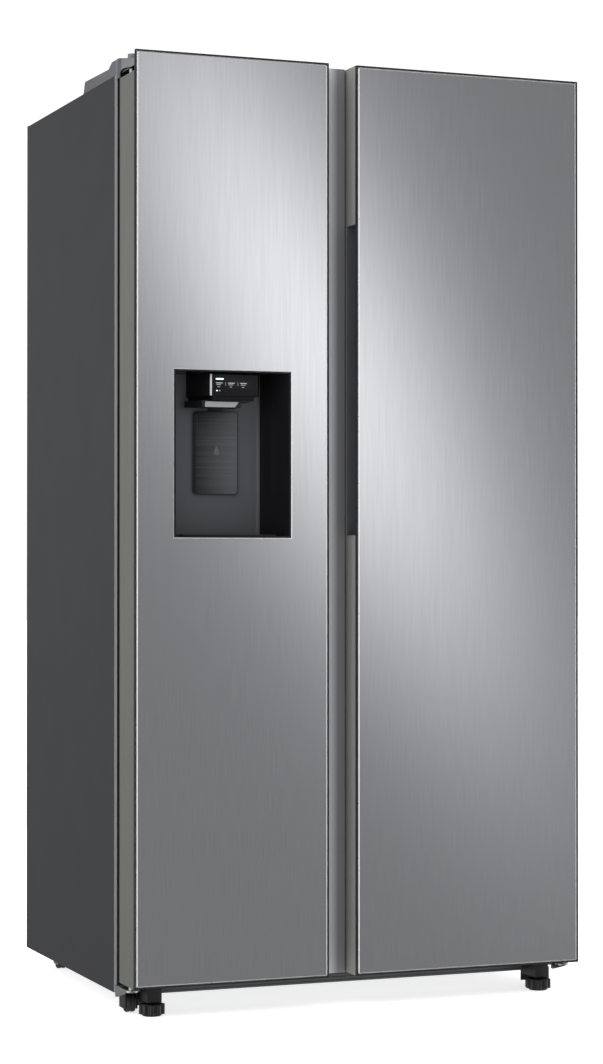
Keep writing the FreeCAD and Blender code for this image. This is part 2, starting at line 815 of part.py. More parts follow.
def make_bin(left, right, floor, tall):
    """An open door bin that hangs between the dyke's side walls."""
    outer = block("bin outer", (left, right), ("door_rear+2", "bin_rear"), (floor, f"{floor}+{tall}"))
    inner = block(
        "bin inner",
        (f"{left}+bin_wall", f"{right}-bin_wall"),
        ("door_rear+2+bin_wall", "bin_rear-bin_wall"),
        (f"{floor}+bin_wall", f"{floor}+{tall}+1"),
    )
    lowered = block(
        "bin scoop",
        (f"{left}+30", f"{right}-30"),
        ("bin_rear-bin_wall-1", "bin_rear+1"),
        (f"{floor}+{tall}*0.7", f"{floor}+{tall}+1"),
    )
    return difference(f"bin {left} {floor}", outer, [inner, lowered])


def make_doors():
    """Both doors with their liners, seals and bins."""
    node(make_panel("freezer_door_panel", "-door_outer", "freezer_edge"))
    node(make_freezer_body())
    node(block(
        "grip_strip",
        ("freezer_edge", "freezer_reach"),
        ("strip_front", "strip_front+strip_thick"),
        ("door_floor", "door_top"),
    ))
    seal = ("-gasket_outer+gasket_wide", "freezer_seal-gasket_wide")
    node(make_door_liner("freezer_door_liner", "-dyke_outer", "freezer_dyke", *seal))
    node(make_gasket("freezer_door_gasket", "-gasket_outer", "freezer_seal"))
    room = ("-dyke_outer+dyke_wall", "freezer_dyke-dyke_wall")
    freezer_bins = [make_bin(*room, floor, "freezer_bin_tall") for floor in FREEZER_BINS]
    node(group("freezer_door_bins", freezer_bins))
    node(make_panel("fridge_door_panel", "fridge_edge", "door_outer"))
    node(make_fridge_body())
    seal = ("fridge_seal+gasket_wide", "gasket_outer-gasket_wide")
    node(make_door_liner("fridge_door_liner", "fridge_dyke", "dyke_outer", *seal))
    node(make_gasket("fridge_door_gasket", "fridge_seal", "gasket_outer"))
    room = ("fridge_dyke+dyke_wall", "dyke_outer-dyke_wall")
    fridge_bins = [make_bin(*room, floor, "fridge_bin_tall") for floor in FRIDGE_BINS]
    node(group("fridge_door_bins", fridge_bins))
    node(make_dairy_lid())


def make_dairy_lid():
    """The lid of the dairy shelf: a bent panel that lifts about its upper edge."""
    lid = body("dairy_lid")
    outline = [
        ("dyke_rear-8", "dairy_top"),
        ("dyke_rear-2", "dairy_top"),
        ("dyke_rear+1", "dairy_floor"),
        ("dyke_rear-3", "dairy_floor"),
    ]
    pad(lid, "YZ", ("fridge_dyke+dyke_wall+1", "dyke_outer-dyke_wall-1"), outline)
    return lid


# ---------------------------------------------------------------- dispenser

def make_niche():
    """The dispenser's housing: a recess with slanted side walls set flush in the door."""
    niche = body("dispenser_housing")
    outer = rectangle("niche_left", "niche_floor", "niche_right", "niche_top")
    pad(niche, "XZ", ("front+0.8", "niche_back+niche_wall"), outer)
    plan = [
        ("niche_left+niche_wall", "front"),
        ("niche_right-niche_wall", "front"),
        ("niche_right-12", "front+16"),
        ("niche_right-34", "niche_back"),
        ("niche_left+12", "niche_back"),
    ]
    pocket(niche, "XY", ("niche_floor+niche_wall", "niche_top-niche_wall"), plan)
    soften(niche, "Fillet", "9", lambda edge: (
        runs_along("Z")(edge)
        and abs(edge.BoundBox.Center.y - number("niche_back")) < 1e-4
        and edge.BoundBox.ZLength < number("niche_top-niche_floor-1")
    ))
    return niche


def make_head():
    """The control head: a tapered box under the niche's ceiling with a sloped underside."""
    head = body("dispenser_head")
    plan = [
        ("head_left", "front+8"),
        ("head_right", "front+8"),
        ("head_right+6", "front+16"),
        ("head_right+14", "niche_back"),
        ("head_left-24", "niche_back"),
        ("head_left-3", "front+11"),
    ]
    pad(head, "XY", ("head_floor", "niche_top-niche_wall"), plan)
    slope = [
        ("front", "head_top+0.5"),
        ("front+30", "niche_top+1"),
        ("front", "niche_top+1"),
    ]
    pocket(head, "YZ", ("head_left-30", "head_right+30"), slope)
    skirt = [
        ("head_left+5", "front+16"),
        ("head_right-3", "front+16"),
        ("head_right+8", "niche_back"),
        ("head_left-20", "niche_back"),
    ]
    pad(head, "XY", ("head_floor-8", "head_floor"), skirt)
    return head


def make_chute():
    """The funnel under the control head that guides ice and water down, with a light rim."""
    chute = body("dispenser_chute")
    plan = [
        ("head_left-13", "front+22"),
        ("head_right-26", "front+22"),
        ("head_right-20", "chute_rear"),
        ("head_left-34", "chute_rear"),
    ]
    pad(chute, "XY", ("head_floor-20", "head_floor-8"), plan)
    mouth = rectangle("head_left-7", "front+27", "head_right-33", "chute_rear-6")
    pocket(chute, "XY", ("head_floor-21", "head_floor-12"), mouth)
    soften(chute, "Fillet", "4", runs_along("Z", None, "head_floor-8"))
    return chute


def make_paddle():
    """The lever that a glass pushes: a plate that hangs from ears on a cross pin."""
    paddle = body("dispenser_paddle")
    plate = rectangle("paddle_left", "paddle_floor", "paddle_right", "paddle_top")
    pad(paddle, "XZ", ("paddle_y", "paddle_y+paddle_thick"), plate)
    soften(paddle, "Fillet", "7", runs_along("Y"))
    neck = rectangle("paddle_left+28", "paddle_top-14", "paddle_right-28", "head_floor-11")
    pad(paddle, "XZ", ("paddle_y+paddle_thick-0.5", "paddle_y+paddle_thick+2"), neck)
    soften(paddle, "Chamfer", "0.8", lies_on("Y", "paddle_y"))
    return paddle


def make_tray():
    """The drip tray at the niche's floor, with slots for the spilled water."""
    tray = body("drip_tray")
    plan = [
        ("niche_left+22", "front+16"),
        ("niche_right-24", "front+16"),
        ("niche_right-46", "niche_back-4"),
        ("niche_left+30", "niche_back-4"),
    ]
    floor = "niche_floor+niche_wall"
    pad(tray, "XY", (floor, f"{floor}+tray_thick"), plan)
    slots = []
    for i in range(8):
        left = f"niche_left+{48 + 15 * i}"
        slots.append(rectangle(left, "front+26", f"{left}+5", "front+66"))
    pocket(tray, "XY", (f"{floor}+tray_thick/2", f"{floor}+tray_thick+1"), *slots)
    return tray


def make_dispenser():
    """All the pieces of the ice and water dispenser."""
    for make in (make_niche, make_head, make_chute, make_paddle, make_tray):
        node(make())


# ---------------------------------------------------------------- rooms' fittings

def make_drawer(label, left, right, floor, tall, rear):
    """An open drawer with a lip along the top of its front."""
    drawer = body(label)
    pad(drawer, "XY", (floor, f"{floor}+{tall}"), rectangle(left, "drawer_front", right, rear))
    inner = rectangle(
        f"{left}+drawer_wall", "drawer_front+drawer_wall", f"{right}-drawer_wall", f"{rear}-drawer_wall"
    )
    pocket(drawer, "XY", (f"{floor}+drawer_wall", f"{floor}+{tall}+1"), inner)
    lip = rectangle(f"{left}+4", "drawer_front-9", f"{right}-4", "drawer_front+1")
    pad(drawer, "XY", (f"{floor}+{tall}-22", f"{floor}+{tall}"), lip)
    return drawer


def make_wire_shelf(floor):
    """One coated wire shelf: rods across a rim."""
    left, right, rear = "freezer_left+1", "freezer_right-1", "duct_front-8"
    pieces = [
        block("shelf front rim", (left, right), ("shelf_front", "shelf_front+6"), (floor, f"{floor}+9")),
        block("shelf rear rim", (left, right), (f"{rear}-6", rear), (floor, f"{floor}+6")),
        block("shelf left rim", (left, f"{left}+6"), ("shelf_front", rear), (floor, f"{floor}+6")),
        block("shelf right rim", (f"{right}-6", right), ("shelf_front", rear), (floor, f"{floor}+6")),
    ]
    for i in range(11):
        x = f"{left}+{30 + 29 * i}"
        start = (x, "shelf_front+3", f"{floor}+3")
        pieces.append(rod("shelf wire", "y", start, "2", f"{rear}-shelf_front-6"))
    return union(f"wire shelf {floor}", pieces)


def make_fittings():
    """Shelves, drawers, lamps, the ice maker and its bin."""
    node(group("freezer_shelves", [make_wire_shelf(floor) for floor in WIRE_SHELVES]))
    glass = []
    trims = []
    for z in GLASS_SHELVES:
        pane = (f"{z}", f"{z}+4")
        wide = ("fridge_left+2", "fridge_right-2")
        glass.append(block(f"glass {z}", wide, ("shelf_front+8", "duct_front+20"), pane))
        wide = ("fridge_left+1", "fridge_right-1")
        bar = block(f"trim {z}", wide, ("shelf_front", "shelf_front+14"), (f"{z}-7", f"{z}+7"))
        slot = block("trim slot", ("fridge_left", "fridge_right"), ("shelf_front+8", "shelf_front+20"), pane)
        trims.append(difference(f"trim bar {z}", bar, [slot]))
    node(group("fridge_shelf_glass", glass))
    node(group("fridge_shelf_trims", trims))
    low_rear, high_rear = "step_front-5", "duct_front-15"
    rooms = (("freezer_basket", "freezer_left", "freezer_right"), ("crisper", "fridge_left", "fridge_right"))
    for name, left, right in rooms:
        span = (f"{left}+8", f"{right}-8")
        node(make_drawer(f"{name}_lower", *span, "room_floor+3", "drawer_tall", low_rear))
        node(make_drawer(f"{name}_upper", *span, "step_top+12", "drawer_tall", high_rear))
    span = ("freezer_left+14", "freezer_right-14")
    node(make_drawer("ice_bin", *span, "ice_bin_floor", "ice_bin_tall", "duct_front-40"))
    node(make_ice_maker())
    lamps = []
    for left, right in (("freezer_left", "freezer_right"), ("fridge_left", "fridge_right")):
        wide = (f"{left}+100", f"{right}-100")
        lamps.append(block(f"lamp {left}", wide, ("lamp_front", "lamp_front+40"), ("room_top-8", "room_top")))
    node(group("room_lamps", lamps))


def make_ice_maker():
    """The ice maker: a mould with a row of cups and a drive box at its end."""
    maker = body("ice_maker")
    low, rear = "maker_floor", "maker_front+100"
    mould = rectangle("freezer_left+60", "maker_front", "freezer_right-60", rear)
    pad(maker, "XY", (low, f"{low}+60"), mould)
    cups = []
    for i in range(5):
        left = f"freezer_left+{72 + 30 * i}"
        cups.append(rectangle(left, "maker_front+10", f"{left}+24", f"{rear}-10"))
    pocket(maker, "XY", (f"{low}+20", f"{low}+61"), *cups)
    drive = rectangle("freezer_right-100", "maker_front-10", "freezer_right-58", "duct_front")
    pad(maker, "XY", (low, f"{low}+90"), drive)
    return maker


# ---------------------------------------------------------------- cooling machinery

def make_serpentine(label, left, right, y, low, rows, pitch, radius):
    """A tube that runs to and fro along X, one row above the other, with half-ring bends."""
    pieces = []
    for i in range(rows):
        pieces.append(rod("tube run", "x", (left, y, f"{low}+{i}*{pitch}"), radius, f"{right}-({left})"))
    for i in range(rows - 1):
        bend = document.addObject("Part::Torus", "Bend")
        bend.Label = "tube bend"
        bind(bend, Radius1=f"{pitch}/2", Radius2=radius)
        bend.Angle3 = 180
        end, turn = (right, -90) if i % 2 == 0 else (left, 90)
        upright = FreeCAD.Rotation(FreeCAD.Vector(1, 0, 0), 90)
        bend.Placement.Rotation = upright.multiply(FreeCAD.Rotation(FreeCAD.Vector(0, 0, 1), turn))
        put(bend, end, y, f"{low}+{i}*{pitch}+{pitch}/2")
        pieces.append(bend)
    return union(label, pieces)


def make_compressor():
    """The compressor: a welded steel dome on a foot plate, with its terminal box."""
    shell = body("compressor")
    outline = [
        ("0", "12"), ("60", "12"), ("74", "26"), ("78", "60"), ("78", "100"), ("70", "130"),
        ("48", "156"), ("20", "166"), ("0", "168"),
    ]
    revolve(shell, "XZ", "V_Axis", outline)
    pad(shell, "XY", ("0", "13"), rectangle("-88", "-58", "88", "58"))
    pad(shell, "XY", ("60", "110"), rectangle("60", "-28", "108", "28"))
    put(shell, "compressor_x", "compressor_y", "case_floor+sheet")
    return shell


def make_shroud():
    """The condenser fan's shroud: a plate with a round mouth and the motor on a cross bar."""
    shroud = body("fan_shroud")
    plate = ("shroud_x", "shroud_x+4")
    pad(shroud, "YZ", plate, rectangle("fan_y-78", "case_floor+sheet", "fan_y+78", "fan_z+80"))
    pocket(shroud, "YZ", ("shroud_x-1", "shroud_x+5"), circle("fan_y", "fan_z", "fan_radius+4"))
    pad(shroud, "YZ", plate, rectangle("fan_y-73", "fan_z-6", "fan_y+73", "fan_z+6"))
    pad(shroud, "YZ", ("shroud_x+4", "shroud_x+40"), circle("fan_y", "fan_z", "20"))
    return shroud


def make_fan(label, blades, radius, plane_axis):
    """A fan wheel about X or Y: a hub with a shaft and evenly spaced blades."""
    fan = body(label)
    plane = "YZ" if plane_axis == "X" else "XZ"
    pad(fan, plane, ("-8", "8"), circle("0", "0", "16"))
    blade = [("10", "-9"), (radius, "-17"), (radius, "9"), ("10", "9")]
    feature = pad(fan, plane, ("-2", "2"), blade)
    repeat(fan, feature, plane_axis, blades)
    return fan


def make_rear_cover():
    """The pressed cover over the machine space, with rows of air slots."""
    cover = body("rear_cover")
    face = rectangle("-case_wide/2+20", "case_floor+6", "case_wide/2-20", "machine_top")
    pad(cover, "XZ", ("rear-sheet", "rear"), face)
    slots = []
    for middle in (-300, -100, 100, 300):
        for row in range(7):
            low = f"case_floor+{52 + 22 * row}"
            slots.append(rectangle(f"{middle}-70", low, f"{middle}+70", f"{low}+8"))
    pocket(cover, "XZ", ("rear-3", "rear+1"), *slots)
    return cover


def make_duct():
    """The freezer's rear cover with the fan's grille and the return slots below it."""
    duct = body("evaporator_cover")
    face = rectangle("freezer_left", "step_top", "freezer_right", "room_top-60")
    pad(duct, "XZ", ("duct_front", "duct_front+3"), face)
    grille = []
    for i in range(5):
        left = f"cold_fan_x+{20 * i - 50}"
        grille.append(rectangle(left, "cold_fan_z-45", f"{left}+8", "cold_fan_z+45"))
    returns = []
    for i in range(8):
        left = f"cold_fan_x+{30 * i - 120}"
        returns.append(rectangle(left, "step_top+20", f"{left}+18", "step_top+32"))
    pocket(duct, "XZ", ("duct_front-1", "duct_front+4"), *grille, *returns)
    return duct


def make_machinery():
    """Compressor, coils, fans, covers, water valve and mains inlet."""
    node(make_compressor())
    node(make_serpentine("condenser_coil", "-330", "-40", "fan_y+2", "condenser_floor", 6, 26, "4"))
    wide = ("freezer_left+50", "freezer_right-50")
    node(make_serpentine("evaporator_coil", *wide, "evaporator_y", "evaporator_floor", 14, 36, "5"))
    node(make_shroud())
    fan = node(make_fan("condenser_fan", 5, "fan_radius", "X"))
    put(fan, "shroud_x-10", "fan_y", "fan_z")
    fan = node(make_fan("evaporator_fan", 5, "cold_fan_radius", "Y"))
    put(fan, "cold_fan_x", "cold_fan_y", "cold_fan_z")
    node(make_rear_cover())
    node(make_duct())
    wide = ("valve_x-25", "valve_x+25")
    valve = [
        block("valve body", wide, ("320", "rear-sheet"), ("valve_z-20", "valve_z+20")),
        rod("valve coil", "z", ("valve_x", "338", "valve_z+18"), "14", "30"),
        rod("valve inlet", "z", ("valve_x", "346", "valve_z-44"), "9", "26"),
    ]
    node(union("water_valve", valve))
    wide = ("inlet_x-20", "inlet_x+20")
    inlet = block("inlet case", wide, ("330", "rear-sheet"), ("inlet_z", "inlet_z+35"))
    socket = block("inlet socket", ("inlet_x-13", "inlet_x+13"), ("338", "rear"), ("inlet_z+7", "inlet_z+28"))
    node(difference("power_inlet", inlet, [socket]))


# ---------------------------------------------------------------- build, test and write

def check_and_export():
    """Test every object and every piece, then write one STEP file for each piece."""
    document.recompute()
    for thing in document.Objects:
        if "Invalid" in thing.State or "Error" in thing.State:
            raise RuntimeError(f"{thing.Label} failed: {thing.State}")
    labels = [piece.Label for piece in nodes]
    if len(set(labels)) != len(labels) or len(labels) > 60:
        raise RuntimeError(f"{len(labels)} pieces, with names that must differ")
    for piece in nodes:
        shape = piece.Shape
        if shape.isNull() or not shape.isValid() or not shape.Solids:
            raise RuntimeError(f"{piece.Label} has no valid solid")
    os.makedirs("parts", exist_ok=True)
    for piece in nodes:
        piece.Shape.exportStep(f"parts/{piece.Label}.step")
        box = piece.Shape.BoundBox
        print(
            f"{piece.Label:24s} solids {len(piece.Shape.Solids):2d}  "
            f"x {box.XMin:8.1f} {box.XMax:8.1f}  y {box.YMin:8.1f} {box.YMax:8.1f}  "
            f"z {box.ZMin:8.1f} {box.ZMax:8.1f}  {piece.Shape.Volume / 1e3:10.1f} cm3"
        )


make_case()
make_supports()
make_doors()
make_dispenser()
make_fittings()
make_machinery()
check_and_export()
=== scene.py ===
import functools
import json
import math

import bmesh
import bpy
from mathutils import Matrix, Vector


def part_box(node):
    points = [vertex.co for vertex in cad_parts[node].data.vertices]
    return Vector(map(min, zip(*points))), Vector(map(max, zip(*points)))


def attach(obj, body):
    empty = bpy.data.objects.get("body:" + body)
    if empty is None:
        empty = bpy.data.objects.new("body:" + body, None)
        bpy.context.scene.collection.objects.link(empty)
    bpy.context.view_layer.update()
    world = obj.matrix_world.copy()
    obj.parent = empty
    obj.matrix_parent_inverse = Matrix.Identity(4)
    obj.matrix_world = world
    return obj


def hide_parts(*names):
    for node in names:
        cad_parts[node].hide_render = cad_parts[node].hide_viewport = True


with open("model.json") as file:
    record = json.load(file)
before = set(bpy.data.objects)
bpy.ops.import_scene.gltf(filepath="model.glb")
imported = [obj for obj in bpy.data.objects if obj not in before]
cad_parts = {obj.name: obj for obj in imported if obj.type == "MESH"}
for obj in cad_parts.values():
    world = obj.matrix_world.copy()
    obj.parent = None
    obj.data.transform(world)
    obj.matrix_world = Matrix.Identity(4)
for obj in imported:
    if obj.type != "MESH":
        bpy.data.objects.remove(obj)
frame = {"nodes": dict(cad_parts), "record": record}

bl_info = {
    "name": "Side by side refrigerator",
    "version": (1, 0, 0),
    "blender": (4, 5, 0),
    "location": "View3D > Sidebar > Refrigerator",
    "description": "Steel fronts, plastics, seals and fittings of a side by side refrigerator",
    "category": "Object",
}

# The frame's own axes: the doors face -Y, +X is to the right of someone in front, Z is up.
X, Y, Z = 0, 1, 2
MM = 0.001
# Metres within which two places count as one.
SAME = 1e-6

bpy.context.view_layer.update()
BODY_OF = {name: body for body, names in frame["record"]["behaviour"]["bodies"].items() for name in names}


# ---------------------------------------------------------------- settings

def srgb(red, green, blue):
    """A display colour, 0 to 255, as the linear colour that a shader takes."""
    def linear(level):
        share = level / 255
        return share / 12.92 if share <= 0.04045 else ((share + 0.055) / 1.055) ** 2.4
    return tuple(linear(level) for level in (red, green, blue))


def colour(name, description, *levels):
    """A colour that a user may change."""
    return bpy.props.FloatVectorProperty(
        name=name, description=description, default=srgb(*levels), min=0.0, max=1.0,
        subtype="COLOR", size=3,
    )


def length(name, description, millimetres):
    """A length that a user may change."""
    return bpy.props.FloatProperty(
        name=name, description=description, default=millimetres * MM, min=0.0,
        subtype="DISTANCE", unit="LENGTH",
    )


class REFRIGERATOR_PG_colours(bpy.types.PropertyGroup):
    """Colours of the finishes."""

    steel: colour("Steel", "Brushed steel of the door fronts", 203, 204, 208)
    # Cut edge: paler than the steel, partly a painted highlight on the bevel.
    steel_edge: colour("Cut edge", "Bright cut edge round each steel front", 226, 226, 229)
    case: colour("Case", "Textured paint of the case", 33, 34, 38)
    # Flange: lighter than the case, a painted highlight on its turned front edge.
    flange: colour("Flange", "Paint on the case's turned front edge", 144, 146, 149)
    door_side: colour("Door side", "Satin paint of the doors' sides", 88, 88, 84)
    # Gap side: a lighter copy of the door side's paint, painted light in the finger gap.
    gap_side: colour("Gap side", "Paint on the door's side that faces the finger gap", 140, 140, 136)
    hinge_cover: colour("Hinge cover", "Moulded covers over the top hinges", 79, 80, 84)
    # Hinge nose: a lighter copy of the covers' plastic, painted light on the noses and creases.
    hinge_nose: colour("Hinge cover's nose", "Front parts of the hinge covers, over the doors", 104, 105, 109)
    # Grip: the strip's own metal, also the colour of the painted highlight on the control head's chamfer.
    grip: colour("Grip strip", "Satin metal strip between the doors", 214, 216, 221)
    # Pocket: also the colour of the painted shade on the hinge covers' necks.
    pocket: colour("Finger pocket", "Lining of the finger pockets", 74, 75, 80)
    black: colour("Black plastic", "Feet, rims and dark mouldings", 20, 20, 22)
    dispenser: colour("Dispenser", "Satin rear wall of the dispenser", 76, 77, 81)
    white: colour("White plastic", "Liners and fittings in the rooms", 228, 230, 231)
    wire: colour("Wire coating", "Coated shelves of the freezer", 236, 238, 239)


class REFRIGERATOR_PG_sizes(bpy.types.PropertyGroup):
    """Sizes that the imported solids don't fix."""

    cut_edge: length("Cut edge", "Width of the bright cut edge round a steel front", 3.6)
    cut_window: length("Cut edge at the dispenser", "Width of the bright cut edge round the dispenser", 1.6)
    case_round: length("Case rounding", "Radius of the case's outer bends", 4.0)
    flange_round: length("Flange rounding", "Radius of the bend at the case's front edge", 1.2)
    # Flange width: inside it the front edge is painted black, as shade in the gap behind the doors.
    flange_wide: length("Flange", "Width of the case's front edge outside the seal's black strip", 5.5)
    room_round: length("Room rounding", "Radius inside the rooms' corners", 14.0)
    rim_wide: length("Front rim", "Width of the black moulding round a steel front", 2.7)
    screw_radius: length("Screw head", "Radius of a screw's head", 4.2)
    floor_size: length("Floor", "Width of the floor", 60000)


# ---------------------------------------------------------------- materials

class Finish:
    """A material in the making: one Principled shader and the pattern nodes that feed it."""

    def __init__(self, name, base, roughness, metallic=0.0, **sockets):
        self.material = bpy.data.materials.new(name)
        self.material.use_nodes = True
        self.material.diffuse_color = (*base, 1.0)
        self.tree = self.material.node_tree
        self.shader = self.tree.nodes["Principled BSDF"]
        self.shader.inputs["Base Color"].default_value = (*base, 1.0)
        self.shader.inputs["Roughness"].default_value = roughness
        self.shader.inputs["Metallic"].default_value = metallic
        for socket, level in sockets.items():
            self.shader.inputs[socket.replace("_", " ")].default_value = level
        self.base = base
        self.roughness = roughness
        self.place = self.tree.nodes.new("ShaderNodeTexCoord").outputs["Object"]

    def stretched(self, scale):
        """Object coordinates scaled along each axis, in repeats per metre."""
        mapping = self.tree.nodes.new("ShaderNodeMapping")
        mapping.inputs["Scale"].default_value = scale
        self.tree.links.new(self.place, mapping.inputs["Vector"])
        return mapping.outputs["Vector"]

    def noise(self, scale, detail=2.0):
        """Noise between 0 and 1 with its own scale along each axis."""
        texture = self.tree.nodes.new("ShaderNodeTexNoise")
        texture.inputs["Scale"].default_value = 1.0
        texture.inputs["Detail"].default_value = detail
        self.tree.links.new(self.stretched(scale), texture.inputs["Vector"])
        return texture.outputs["Fac"]

    def along(self, axis, low, high):
        """A level that goes from 0 to 1 between two places on an axis."""
        parts = self.tree.nodes.new("ShaderNodeSeparateXYZ")
        self.tree.links.new(self.place, parts.inputs[0])
        return self.ranged(parts.outputs[axis], low, high, 0, 1)

    def blended(self, first, second, share):
        """A level between two others, nearer to the second as the share grows."""
        mix = self.tree.nodes.new("ShaderNodeMix")
        mix.inputs[0].default_value = share
        self.tree.links.new(first, mix.inputs[2])
        self.tree.links.new(second, mix.inputs[3])
        return mix.outputs[0]

    def cells(self, scale):
        """Distance to the middle of the nearest cell, for pits and grains."""
        texture = self.tree.nodes.new("ShaderNodeTexVoronoi")
        texture.inputs["Scale"].default_value = 1.0
        self.tree.links.new(self.stretched(scale), texture.inputs["Vector"])
        return texture.outputs["Distance"]

    def ranged(self, level, low, high, to_low, to_high):
        """Carry a level from one range to another."""
        remap = self.tree.nodes.new("ShaderNodeMapRange")
        limits = {"From Min": low, "From Max": high, "To Min": to_low, "To Max": to_high}
        for socket, number in limits.items():
            remap.inputs[socket].default_value = number
        self.tree.links.new(level, remap.inputs["Value"])
        return remap.outputs["Result"]

    def tint(self, level, darker, lighter):
        """Let the base colour run between two shares of itself."""
        mix = self.tree.nodes.new("ShaderNodeMix")
        mix.data_type = "RGBA"
        factor, first, second = mix.inputs[0], mix.inputs[6], mix.inputs[7]
        first.default_value = (*(min(1.0, part * darker) for part in self.base), 1.0)
        second.default_value = (*(min(1.0, part * lighter) for part in self.base), 1.0)
        self.tree.links.new(level, factor)
        self.tree.links.new(mix.outputs[2], self.shader.inputs["Base Color"])
        return self

    def polish(self, level, spread):
        """Let the roughness run a little to each side of its own value."""
        rough = self.ranged(level, 0.3, 0.7, self.roughness - spread, self.roughness + spread)
        self.tree.links.new(rough, self.shader.inputs["Roughness"])
        return self

    def relief(self, level, depth, strength=1.0):
        """Raise the surface where the level is high, by a depth in metres."""
        bump = self.tree.nodes.new("ShaderNodeBump")
        bump.inputs["Distance"].default_value = depth
        bump.inputs["Strength"].default_value = strength
        self.tree.links.new(level, bump.inputs["Height"])
        self.tree.links.new(bump.outputs["Normal"], self.shader.inputs["Normal"])
        return self


def chosen(name):
    """A colour from the panel's settings."""
    return tuple(getattr(bpy.context.scene.refrigerator_colours, name))


def chosen_size(name):
    """A length from the panel's settings."""
    return getattr(bpy.context.scene.refrigerator_sizes, name)


@functools.cache
def brushed_steel():
    """Door steel with a fine upright grain."""
    made = Finish("brushed_steel", chosen("steel"), 0.12, 1.0)
    grain = made.noise((520, 520, 14), 3.0)
    made.tint(made.ranged(grain, 0.25, 0.75, 0, 1), 0.95, 1.04)
    made.polish(made.noise((260, 260, 7)), 0.006)
    return made.material


@functools.cache
def cut_steel():
    """The cut edge of the door steel: its bevel mirrors the room, and its paler, half-diffuse finish adds a
    painted highlight.
    """
    made = Finish("cut_steel", chosen("steel_edge"), 0.30, 0.55)
    made.tint(made.noise((260, 260, 260)), 0.94, 1.0)
    made.polish(made.noise((90, 90, 90)), 0.03)
    return made.material


@functools.cache
def pale_cut_steel():
    """Painted highlight on the cut edge at a door's right, which mirrors only the dark gap: a pale, mostly
    diffuse finish.
    """
    made = Finish("pale_cut_steel", (0.95, 0.95, 0.96), 0.45, 0.15)
    made.tint(made.noise((60, 60, 20)), 0.9, 1.0)
    made.polish(made.noise((30, 30, 30)), 0.05)
    return made.material


@functools.cache
def case_paint():
    """Dark powder paint with a fine crinkle."""
    made = Finish("case_paint", chosen("case"), 0.46, Specular_IOR_Level=0.30)
    grain = made.noise((520, 520, 520), 3.0)
    made.tint(made.ranged(grain, 0.32, 0.68, 0, 1), 0.84, 1.16)
    made.polish(made.noise((9, 9, 9)), 0.012)
    made.relief(grain, 0.0001, 0.3)
    return made.material


@functools.cache
def flange_paint():
    """The case's paint on its turned front edge, made lighter and smoother as a painted highlight."""
    made = Finish("flange_paint", chosen("flange"), 0.38)
    made.tint(made.noise((300, 300, 40)), 0.92, 1.06)
    made.polish(made.noise((30, 30, 8)), 0.05)
    return made.material


@functools.cache
def door_side_paint():
    """Satin paint on the folded sides of the doors."""
    made = Finish("door_side_paint", chosen("door_side"), 0.42, Specular_IOR_Level=0.3)
    made.tint(made.noise((160, 160, 6), 3.0), 0.90, 1.08)
    made.polish(made.noise((20, 20, 5)), 0.04)
    made.relief(made.noise((900, 900, 900)), 0.00005, 0.3)
    return made.material


@functools.cache
def gap_side_paint():
    """The door side's paint made lighter on the side that faces the finger gap: painted light on a side that
    sits in shade.
    """
    made = Finish("gap_side_paint", chosen("gap_side"), 0.42, Specular_IOR_Level=0.3)
    made.tint(made.noise((160, 160, 6), 3.0), 0.92, 1.06)
    made.polish(made.noise((20, 20, 5)), 0.04)
    return made.material


def moulded(name, base, roughness, grain=900.0, depth=0.00008, **sockets):
    """Moulded plastic: a fine spark-eroded grain and slow changes of tone and gloss."""
    made = Finish(name, base, roughness, **sockets)
    made.tint(made.noise((24, 24, 24), 3.0), 0.90, 1.08)
    made.polish(made.noise((14, 14, 14)), 0.05)
    made.relief(made.noise((grain, grain, grain)), depth, 0.4)
    return made.material


@functools.cache
def hinge_cover_plastic():
    """Grey plastic of the hinge covers and of the rail under the doors."""
    return moulded("hinge_cover_plastic", chosen("hinge_cover"), 0.42)


@functools.cache
def hinge_nose_plastic():
    """The covers' plastic made lighter and smoother: painted light on the noses over the doors and on the
    creases.
    """
    return moulded("hinge_nose_plastic", chosen("hinge_nose"), 0.36)


@functools.cache
def black_plastic():
    """Black plastic of the feet, rims, end caps and dark fittings."""
    return moulded("black_plastic", chosen("black"), 0.44, depth=0.00012)


@functools.cache
def gloss_black():
    """Polished black plastic of the dispenser's side wall and control head."""
    made = Finish("gloss_black", srgb(17, 17, 19), 0.20, Specular_IOR_Level=0.25)
    made.tint(made.noise((30, 30, 12), 2.0), 0.85, 1.2)
    made.polish(made.noise((18, 18, 18)), 0.04)
    return made.material


@functools.cache
def dispenser_satin():
    """Satin metallic plastic of the dispenser's rear wall."""
    made = Finish("dispenser_satin", chosen("dispenser"), 0.36, 0.35)
    made.tint(made.noise((500, 500, 500)), 0.93, 1.06)
    made.polish(made.noise((12, 12, 12)), 0.04)
    made.relief(made.noise((1400, 1400, 1400)), 0.00004, 0.3)
    return made.material


@functools.cache
def paddle_plastic():
    """Dark plastic of the paddle, brushed from side to side, with a painted reflection: darker at its left,
    lighter at its right.
    """
    made = Finish("paddle_plastic", srgb(78, 79, 82), 0.34, 0.6)
    low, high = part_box("dispenser_paddle")
    grain = made.noise((5, 5, 520), 3.0)
    # Painted reflection: the tint runs from dark at the paddle's left to light at its right.
    painted_reflection = made.along(X, low.x, high.x)
    made.tint(made.blended(made.ranged(grain, 0.3, 0.7, 0, 1), painted_reflection, 0.78), 0.18, 1.8)
    made.polish(made.noise((8, 8, 200)), 0.05)
    made.relief(grain, 0.00006, 0.5)
    return made.material


@functools.cache
def grip_metal():
    """Painted highlight on the chamfer of the polished black control head: a bright satin metal finish."""
    made = Finish("grip_metal", chosen("grip"), 0.34, 0.9)
    made.tint(made.noise((800, 800, 8), 3.0), 0.86, 1.06)
    made.polish(made.noise((60, 60, 3)), 0.04)
    return made.material


